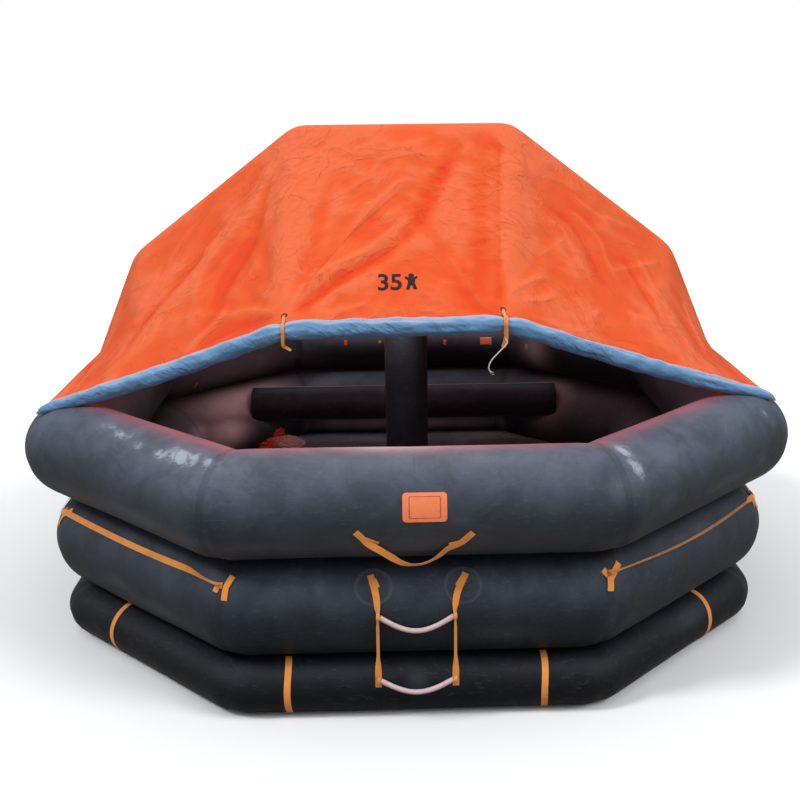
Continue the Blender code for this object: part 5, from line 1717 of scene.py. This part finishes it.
def stitches(name, lines, slot, finish=None, **values):
    given = dict(Spacing=thread["spacing"], Thread_length=thread["length"], Thread_radius=thread["radius"])
    given.update(values)
    return ready(grown(name, lineMesh(lines), stitchTree, finish or threadFinish, **given), slot)


def boxOn(tree, centre, along, out, long, wide, lift):
    # a stitched box with a cross in it, laid on a surface
    along = unit(array(along, float))
    across = unit(np.cross(out, along))
    a, b = along * long / 2, across * wide / 2
    shape = [[-a - b, a - b, a + b, -a + b, -a - b], [-a - b, a + b], [-a + b, a - b]]
    return [restOn(tree, denser([array(centre) + p for p in line], 0.006), lift) for line in shape]


# Stitched boxes on the webbing ends: tube, along, angle, heading of the band in degrees, length, lift
sewnEnds = [("upper", upperTube, -0.318, 105.0, -46, 0.055, 0.0034),
            ("upper", upperTube, 0.3, 109.0, 46, 0.055, 0.0034),
            ("middle", middleTube, -0.26, 54.0, -80, 0.05, 0.006),
            ("middle", middleTube, 0.289, 54.0, 78, 0.05, 0.006)]


def buildSewing():
    lines = []
    for name, tube, along, angle, heading, long, lift in sewnEnds:
        centre = onTube(tube, 0, along, angle)
        lean = radians(angle)
        out = array([0, -sin(lean), cos(lean)])
        down = array([0, -cos(lean), -sin(lean)])
        a = radians(heading)
        direction = array([1.0, 0, 0]) * cos(a) - down * sin(a)
        lines += boxOn(tubeTrees[name], centre, direction, out, long, belt["width"] * 0.72, lift)
    lines += [line * (-1, -1, 1) for line in lines]
    stitches("webbing_stitching", lines, "webbing", Spacing=0.0065, Thread_length=0.0048,
             Thread_radius=0.0007)


buildSewing()


# Ladder rungs

def buildRungs():
    left = ladder["leftX"] + ladder["width"] / 2 + 0.0006
    right = ladder["rightX"] - ladder["width"] / 2 - 0.0006
    front = -middleHalf - raft["middleRadius"] - 0.0005 - ladder["rungRadius"]
    for label, height, sag in ladder["rungs"]:
        t = linspace(0, 1, 41)
        x = left + (right - left) * t
        path = stack([x, np.full(41, front), height - sag * np.sin(pi * t)], 1)
        thick = 1 - 0.05 * bell(t - 0.5, 0.3) + 0.012 * np.sin(t * 29)
        piece = tubeAlong("rung_tube_front_" + label, path, rungPlastic, ladder["rungRadius"] * 0.97, 24,
                          thick)
        ready(piece, "rung_tube", "ladder_rung_front_" + label)
        rearCopy(piece, "rung_tube_rear_" + label, "rung_tube", "ladder_rung_rear_" + label)


buildRungs()


# Label: a bare rounded panel with a thin printed frame

label = dict(width=0.25, top=61.5, low=91.5, middle=0.052, corner=0.022, thickness=0.003,
             frame=(0.036, 0.022), line=0.0032,
             soft=0.0009, lift=0.0004)


def roundedOutline(width, height, corner):
    made = []
    for sx, sy, start in ((1, 1, 0), (-1, 1, 90), (-1, -1, 180), (1, -1, 270)):
        for a in np.radians(start + 90 * np.arange(5) / 4):
            made.append((sx * (width / 2 - corner) + corner * np.cos(a),
                         sy * (height / 2 - corner) + corner * np.sin(a)))
    return array(made + made[:1])


def onUpperTube(side, middle, angle, flatPoints, lift):
    # points drawn flat (x along the side, y up), wrapped on the upper tube
    radius = upperTube[0] * roundness
    placed = [onTube(upperTube, side, middle + x, angle - degrees(y / radius), lift) for x, y in flatPoints]
    return restOn(tubeTrees["upper"], placed, lift)


def buildLabel():
    radius = upperTube[0] * roundness
    height = radians(label["low"] - label["top"]) * radius
    angle = (label["low"] + label["top"]) / 2
    corner = label["corner"]
    down = np.sin(linspace(-pi / 2, pi / 2, 31)) * height / 2
    over = (np.abs(down) - (height / 2 - corner)).clip(0)
    halfWidth = label["width"] / 2 - corner + np.sqrt((corner ** 2 - over ** 2).clip(0))
    across = linspace(-1, 1, 33)
    flatPoints = [(w * x, y) for y, w in zip(down, halfWidth) for x in across]
    grid = onUpperTube(0, label["middle"], angle, flatPoints, label["lift"]).reshape(31, 33, 3)
    panel = addPiece("label_cloth", faceTo(meshFromGrid(grid), (0, -1, 0)), labelCloth)
    thicken(panel, label["thickness"], 1.0)
    edge = panel.modifiers.new("soft_edge", "BEVEL")
    edge.width, edge.segments, edge.limit_method, edge.angle_limit = label["soft"], 2, "ANGLE", radians(50)
    ready(applied(panel), "label_panel", "label_panel")
    inset = label["frame"]
    line = denser(roundedOutline(label["width"] - 2 * inset[0], height - 2 * inset[1], 0.008), 0.004)
    small = 1 - label["line"] / 0.08
    rings = [onUpperTube(0, label["middle"], angle, line * scale, lift)
             for scale, lift in ((1.0, 0.0032), (1.0, 0.004), (small, 0.004), (small, 0.0032))]
    band = faceOutward(meshFromGrid(array(rings), True, False))
    ready(joined("label_frame", [band], labelInk), "label_panel")


buildLabel()


# Small tags and patches on the inner face of the upper tube: side, along, angle, width, height, finish
innerTags = [("inner_tag_1", 4, 0.524, -90, 0.028, 0.05, tagRed),
             ("inner_tag_2", 4, -0.392, -92, 0.028, 0.05, tagRed),
             ("inner_patch", 4, -0.773, -91, 0.105, 0.075, labelCloth),
             ("inner_tag_3", 4, 0.209, -89, 0.022, 0.022, tagPale),
             ("inner_tag_4", 3, 0.447, -95, 0.026, 0.052, tagPale),
             ("inner_tag_5", 5, 0.44, -126, 0.016, 0.07, tagRed)]


tagShape = dict(thickness=0.0016, lift=0.0004)


def buildTag(name, side, along, angle, wide, tall, finish):
    rows, columns = linspace(-tall / 2, tall / 2, 7), linspace(-wide / 2, wide / 2, 7)
    points = onUpperTube(side, along, angle, [(x, y) for y in rows for x in columns], tagShape["lift"])
    mesh = faceTo(meshFromGrid(points.reshape(7, 7, 3)), -sideAxes(side)[0])
    tag = addPiece(name, mesh, finish)
    thicken(tag, tagShape["thickness"], 1.0)
    ready(applied(tag), "webbing")


for tag in innerTags:
    buildTag(*tag)
print("rungs, label and tags ready")


# Marks on the canopy: the number of places and a plain figure

mark = dict(slope=radians(37.6), tall=0.146, digitsWide=0.152, digitsMiddle=(-0.117, -1.24, 2.46),
            figureMiddle=(0.021, -1.24, 2.46), lift=0.0014, thickness=0.0008, cell=0.016, bolder=0.0035,
            spacing=0.98)


def onCanopy(flatPoints, middle, lift):
    # points drawn on the slope (x right, y up the slope), dropped on the cloth
    up = array([0, cos(mark["slope"]), sin(mark["slope"])])
    out = array([0, -sin(mark["slope"]), cos(mark["slope"])])
    placed = []
    for x, y in flatPoints:
        start = array(middle) + array([x, 0, 0]) + up * y + out * 0.3
        spot, normal, _, _ = canopyTree.ray_cast(Vector(start), Vector(-out))
        if normal.dot(Vector(out)) < 0:
            normal = -normal
        placed.append(array(spot + normal * lift))
    return placed


def inkOn(name, flatMesh, middle):
    bm = bmesh.new()
    bm.from_mesh(flatMesh)
    bmesh.ops.remove_doubles(bm, verts=bm.verts, dist=0.0001)
    bmesh.ops.triangulate(bm, faces=bm.faces)
    for _ in range(5):
        long = [e for e in bm.edges if e.calc_length() > mark["cell"]]
        if not long:
            break
        bmesh.ops.subdivide_edges(bm, edges=long, cuts=1)
        bmesh.ops.triangulate(bm, faces=bm.faces)
    spots = onCanopy([(v.co.x, v.co.y) for v in bm.verts], middle, mark["lift"])
    for vert, spot in zip(bm.verts, spots):
        vert.co = spot
    mesh = bpy.data.meshes.new(name)
    bm.to_mesh(mesh)
    bm.free()
    mesh.shade_smooth()
    piece = addPiece(name, faceTo(mesh, (0, 0, 1)), markInk)
    thicken(piece, mark["thickness"], -1.0)
    return ready(applied(piece), "canopy_fabric")


def digitsMesh():
    text = bpy.data.curves.new("digits", "FONT")
    text.body = "35"
    text.size = mark["tall"] / 0.7
    text.offset = mark["bolder"]
    text.align_x = "CENTER"
    text.space_character = mark["spacing"]
    holder = addObject("digits", text)
    mesh = bpy.data.meshes.new_from_object(holder.evaluated_get(bpy.context.evaluated_depsgraph_get()))
    bpy.data.objects.remove(holder)
    points = array([v.co for v in mesh.vertices])
    low, high = points.min(0), points.max(0)
    mesh.transform(Matrix.Translation((-(low[0] + high[0]) / 2, -(low[1] + high[1]) / 2, 0)))
    mesh.transform(Matrix.Diagonal((mark["digitsWide"] / (high[0] - low[0]),
                                    mark["tall"] / (high[1] - low[1]), 1, 1)))
    return mesh


figure = [(0.0, 0.5), (0.08, 0.475), (0.125, 0.395), (0.105, 0.3), (0.14, 0.245), (0.225, 0.335),
          (0.285, 0.285), (0.255, 0.17), (0.16, 0.09), (0.15, -0.1), (0.2, -0.3), (0.245, -0.46),
          (0.21, -0.5), (0.1, -0.5), (0.045, -0.28), (0.0, -0.235)]


def figureMesh():
    half = [(x * mark["tall"], y * mark["tall"]) for x, y in figure]
    outline = half + [(-x, y) for x, y in half[-2:0:-1]]
    bm = bmesh.new()
    bm.faces.new([bm.verts.new((x, y, 0)) for x, y in outline])
    mesh = bpy.data.meshes.new("figure")
    bm.to_mesh(mesh)
    bm.free()
    return mesh


inkOn("canopy_digits", digitsMesh(), mark["digitsMiddle"])
inkOn("canopy_figure", figureMesh(), mark["figureMiddle"])


# Ties, eyelets, cord and hem

tie = dict(width=0.021, thickness=0.0016, gap=0.0003, stepThickness=0.0015, cordRadius=0.004,
           upSlope=(0, 0.8, 0.6), outward=(0, -0.6, 0.8), toRoll=(0, -0.35, -0.94), clear=0.001)


def tieStrapPath(at):
    at = Vector(at)
    upSlope, outward = Vector(tie["upSlope"]), Vector(tie["outward"])
    clear = canopy["thickness"] + 0.0006
    centre = at + Vector(tie["toRoll"]).normalized() * (roll["radius"] + tie["clear"])
    path = [at + upSlope * 0.06 + outward * clear, at + upSlope * 0.006 + outward * clear]
    for angle in (15, 45, 75, 105):
        lean = radians(angle)
        path.append(centre + Vector((0, -sin(lean), cos(lean))) * (roll["radius"] + 0.003))
    path.append(path[-1] + Vector((0, 0.004, -0.06)))
    path.append(path[-1] + Vector((0, 0.012, -0.05)))
    return path


def buildTie(name, at, shift, longer, doubled):
    path = [array(p) for p in tieStrapPath(at)]
    path[0] = array(canopyTree.find_nearest(Vector(path[0]))[0]) + array(tie["outward"]) * 0.004
    path[-1] = path[-1] + array([shift, 0, -longer])
    if not doubled:
        path.append(path[-1] + array([shift * 1.6, 0, -0.018]))
    path = denser(smoothPath(path, 6), 0.006)
    run = lengths(path)
    twist = 0.5 * ease(run, 0.14, run[-1]) * (1 if shift > 0 else -1)
    side = stack([np.cos(twist), np.sin(twist), 0 * twist], 1)
    bands = [bandMesh(path, side, tie["width"] * (1 - 0.25 * bell(run - 0.1, 0.03)), tie["thickness"])]
    if doubled:
        start = len(path) // 4
        second = path[start:] + array([0.009, -0.004, 0]) * ease(run, 0.02, 0.1)[start:, None]
        bands.append(bandMesh(second, side[start:], tie["width"] * 0.8, tie["thickness"]))
    # the loop behind the roll, so that the tie holds it
    centre = array(at) + unit(array(tie["toRoll"])) * (roll["radius"] + tie["clear"])
    around = [centre + array([0, -sin(a), cos(a)]) * (roll["radius"] * 0.93)
              for a in np.radians(100 + 170 * np.arange(15) / 14)]
    around = denser(around)
    bands.append(bandMesh(around, [(1.0, 0, 0)] * len(around), tie["width"] * 0.9, tie["thickness"]))
    return joined(name, bands, webbing)


def buildEyelet(name, at):
    spot, normal, _, _ = canopyTree.find_nearest(Vector(at) + Vector(tie["upSlope"]) * 0.064)
    if normal.z < 0:
        normal = -normal
    tilt = normal.to_track_quat("Z", "Y").to_matrix().to_4x4()
    rings = []
    for radius, lift in ((0.01, -0.001), (0.01, 0.0016), (0.0115, 0.0034), (0.0165, 0.0036), (0.0195, 0.0018),
                         (0.02, -0.001)):
        a = circle(28)
        rings.append(stack([np.cos(a) * radius, np.sin(a) * radius, np.full(28, lift)], 1))
    mesh = meshFromGrid(array(rings), True, True)
    mesh.transform(Matrix.Translation(spot) @ tilt)
    return addPiece(name, faceOutward(mesh), eyeletMetal)


for label, other, *shape in (("left", "right", canopy["tieLeft"], 0.018, -0.034, False),
                             ("right", "left", canopy["tieRight"], -0.016, 0.01, True)):
    strap = ready(buildTie("tie_band_front_" + label, *shape), "webbing", "tie_strap_front_" + label)
    rearCopy(strap, "tie_band_rear_" + other, "webbing", "tie_strap_rear_" + other)
    ring = ready(buildEyelet("eyelet_front_" + label, shape[0]), "webbing")
    rearCopy(ring, "eyelet_rear_" + other, "webbing")


def cordRoute():
    before = tie["stepThickness"] + tie["cordRadius"] + 2 * tie["gap"]
    knot = tieStrapPath(canopy["tieRight"])[-2] - Vector((0, before, 0))
    route = [array(knot)]
    for across, down in ((0.01, 0.03), (-0.04, 0.085), (-0.088, 0.14), (-0.103, 0.19), (-0.075, 0.23)):
        route.append(array(knot + Vector((across, 0, -down))))
    return smoothPath(route, 9)


cordPath = cordRoute()
cordLength = float(lengths(cordPath)[-1])
turns = linspace(0, 2 * pi, 73)[:, None]
knotTurns = np.concatenate([np.sin(turns) + 2 * np.sin(2 * turns), np.cos(turns) - 2 * np.cos(2 * turns),
                            -np.sin(3 * turns)], 1)
knotPath = cordPath[-4] + knotTurns * (0.0042, 0.0042, 0.0046)
ready(tubeAlong("cord_end_knot", knotPath, cordKnot, tie["cordRadius"] * 0.8, 10), "white_cord")
cordPiece = tubeAlong("thin_white_cord", cordPath, whiteCord, tie["cordRadius"] * 0.98, 12)
ready(cordPiece, "white_cord", "tie_cord_front_right")
print("cord ready: {:.3f} m".format(cordLength))


def hemLine(grid, inward):
    # a line of stitching that follows the hem, a little way in from it
    edge = grid[0, 7:-7]
    return restOn(canopyTree, denser(edge + unit(grid[2, 7:-7] - edge) * inward, 0.01), 0.0)


def outwardLift(line, lift):
    placed = []
    for point in line:
        spot, normal, _, _ = canopyTree.find_nearest(Vector(point))
        if normal.dot(Vector(point) - Vector((0, 0, 1.6))) < 0:
            normal = -normal
        placed.append(array(spot + normal * lift))
    return array(placed)


hemRows = [outwardLift(hemLine(grid, inward), 0.0006)
           for grid in (canopyPoints, canopyPoints[::-1, ::-1]) for inward in (0.01, 0.034)]
stitches("hem_stitching", hemRows, "canopy_fabric", canopyThread, Spacing=0.011, Thread_length=0.008)
print("canopy trimmings ready")
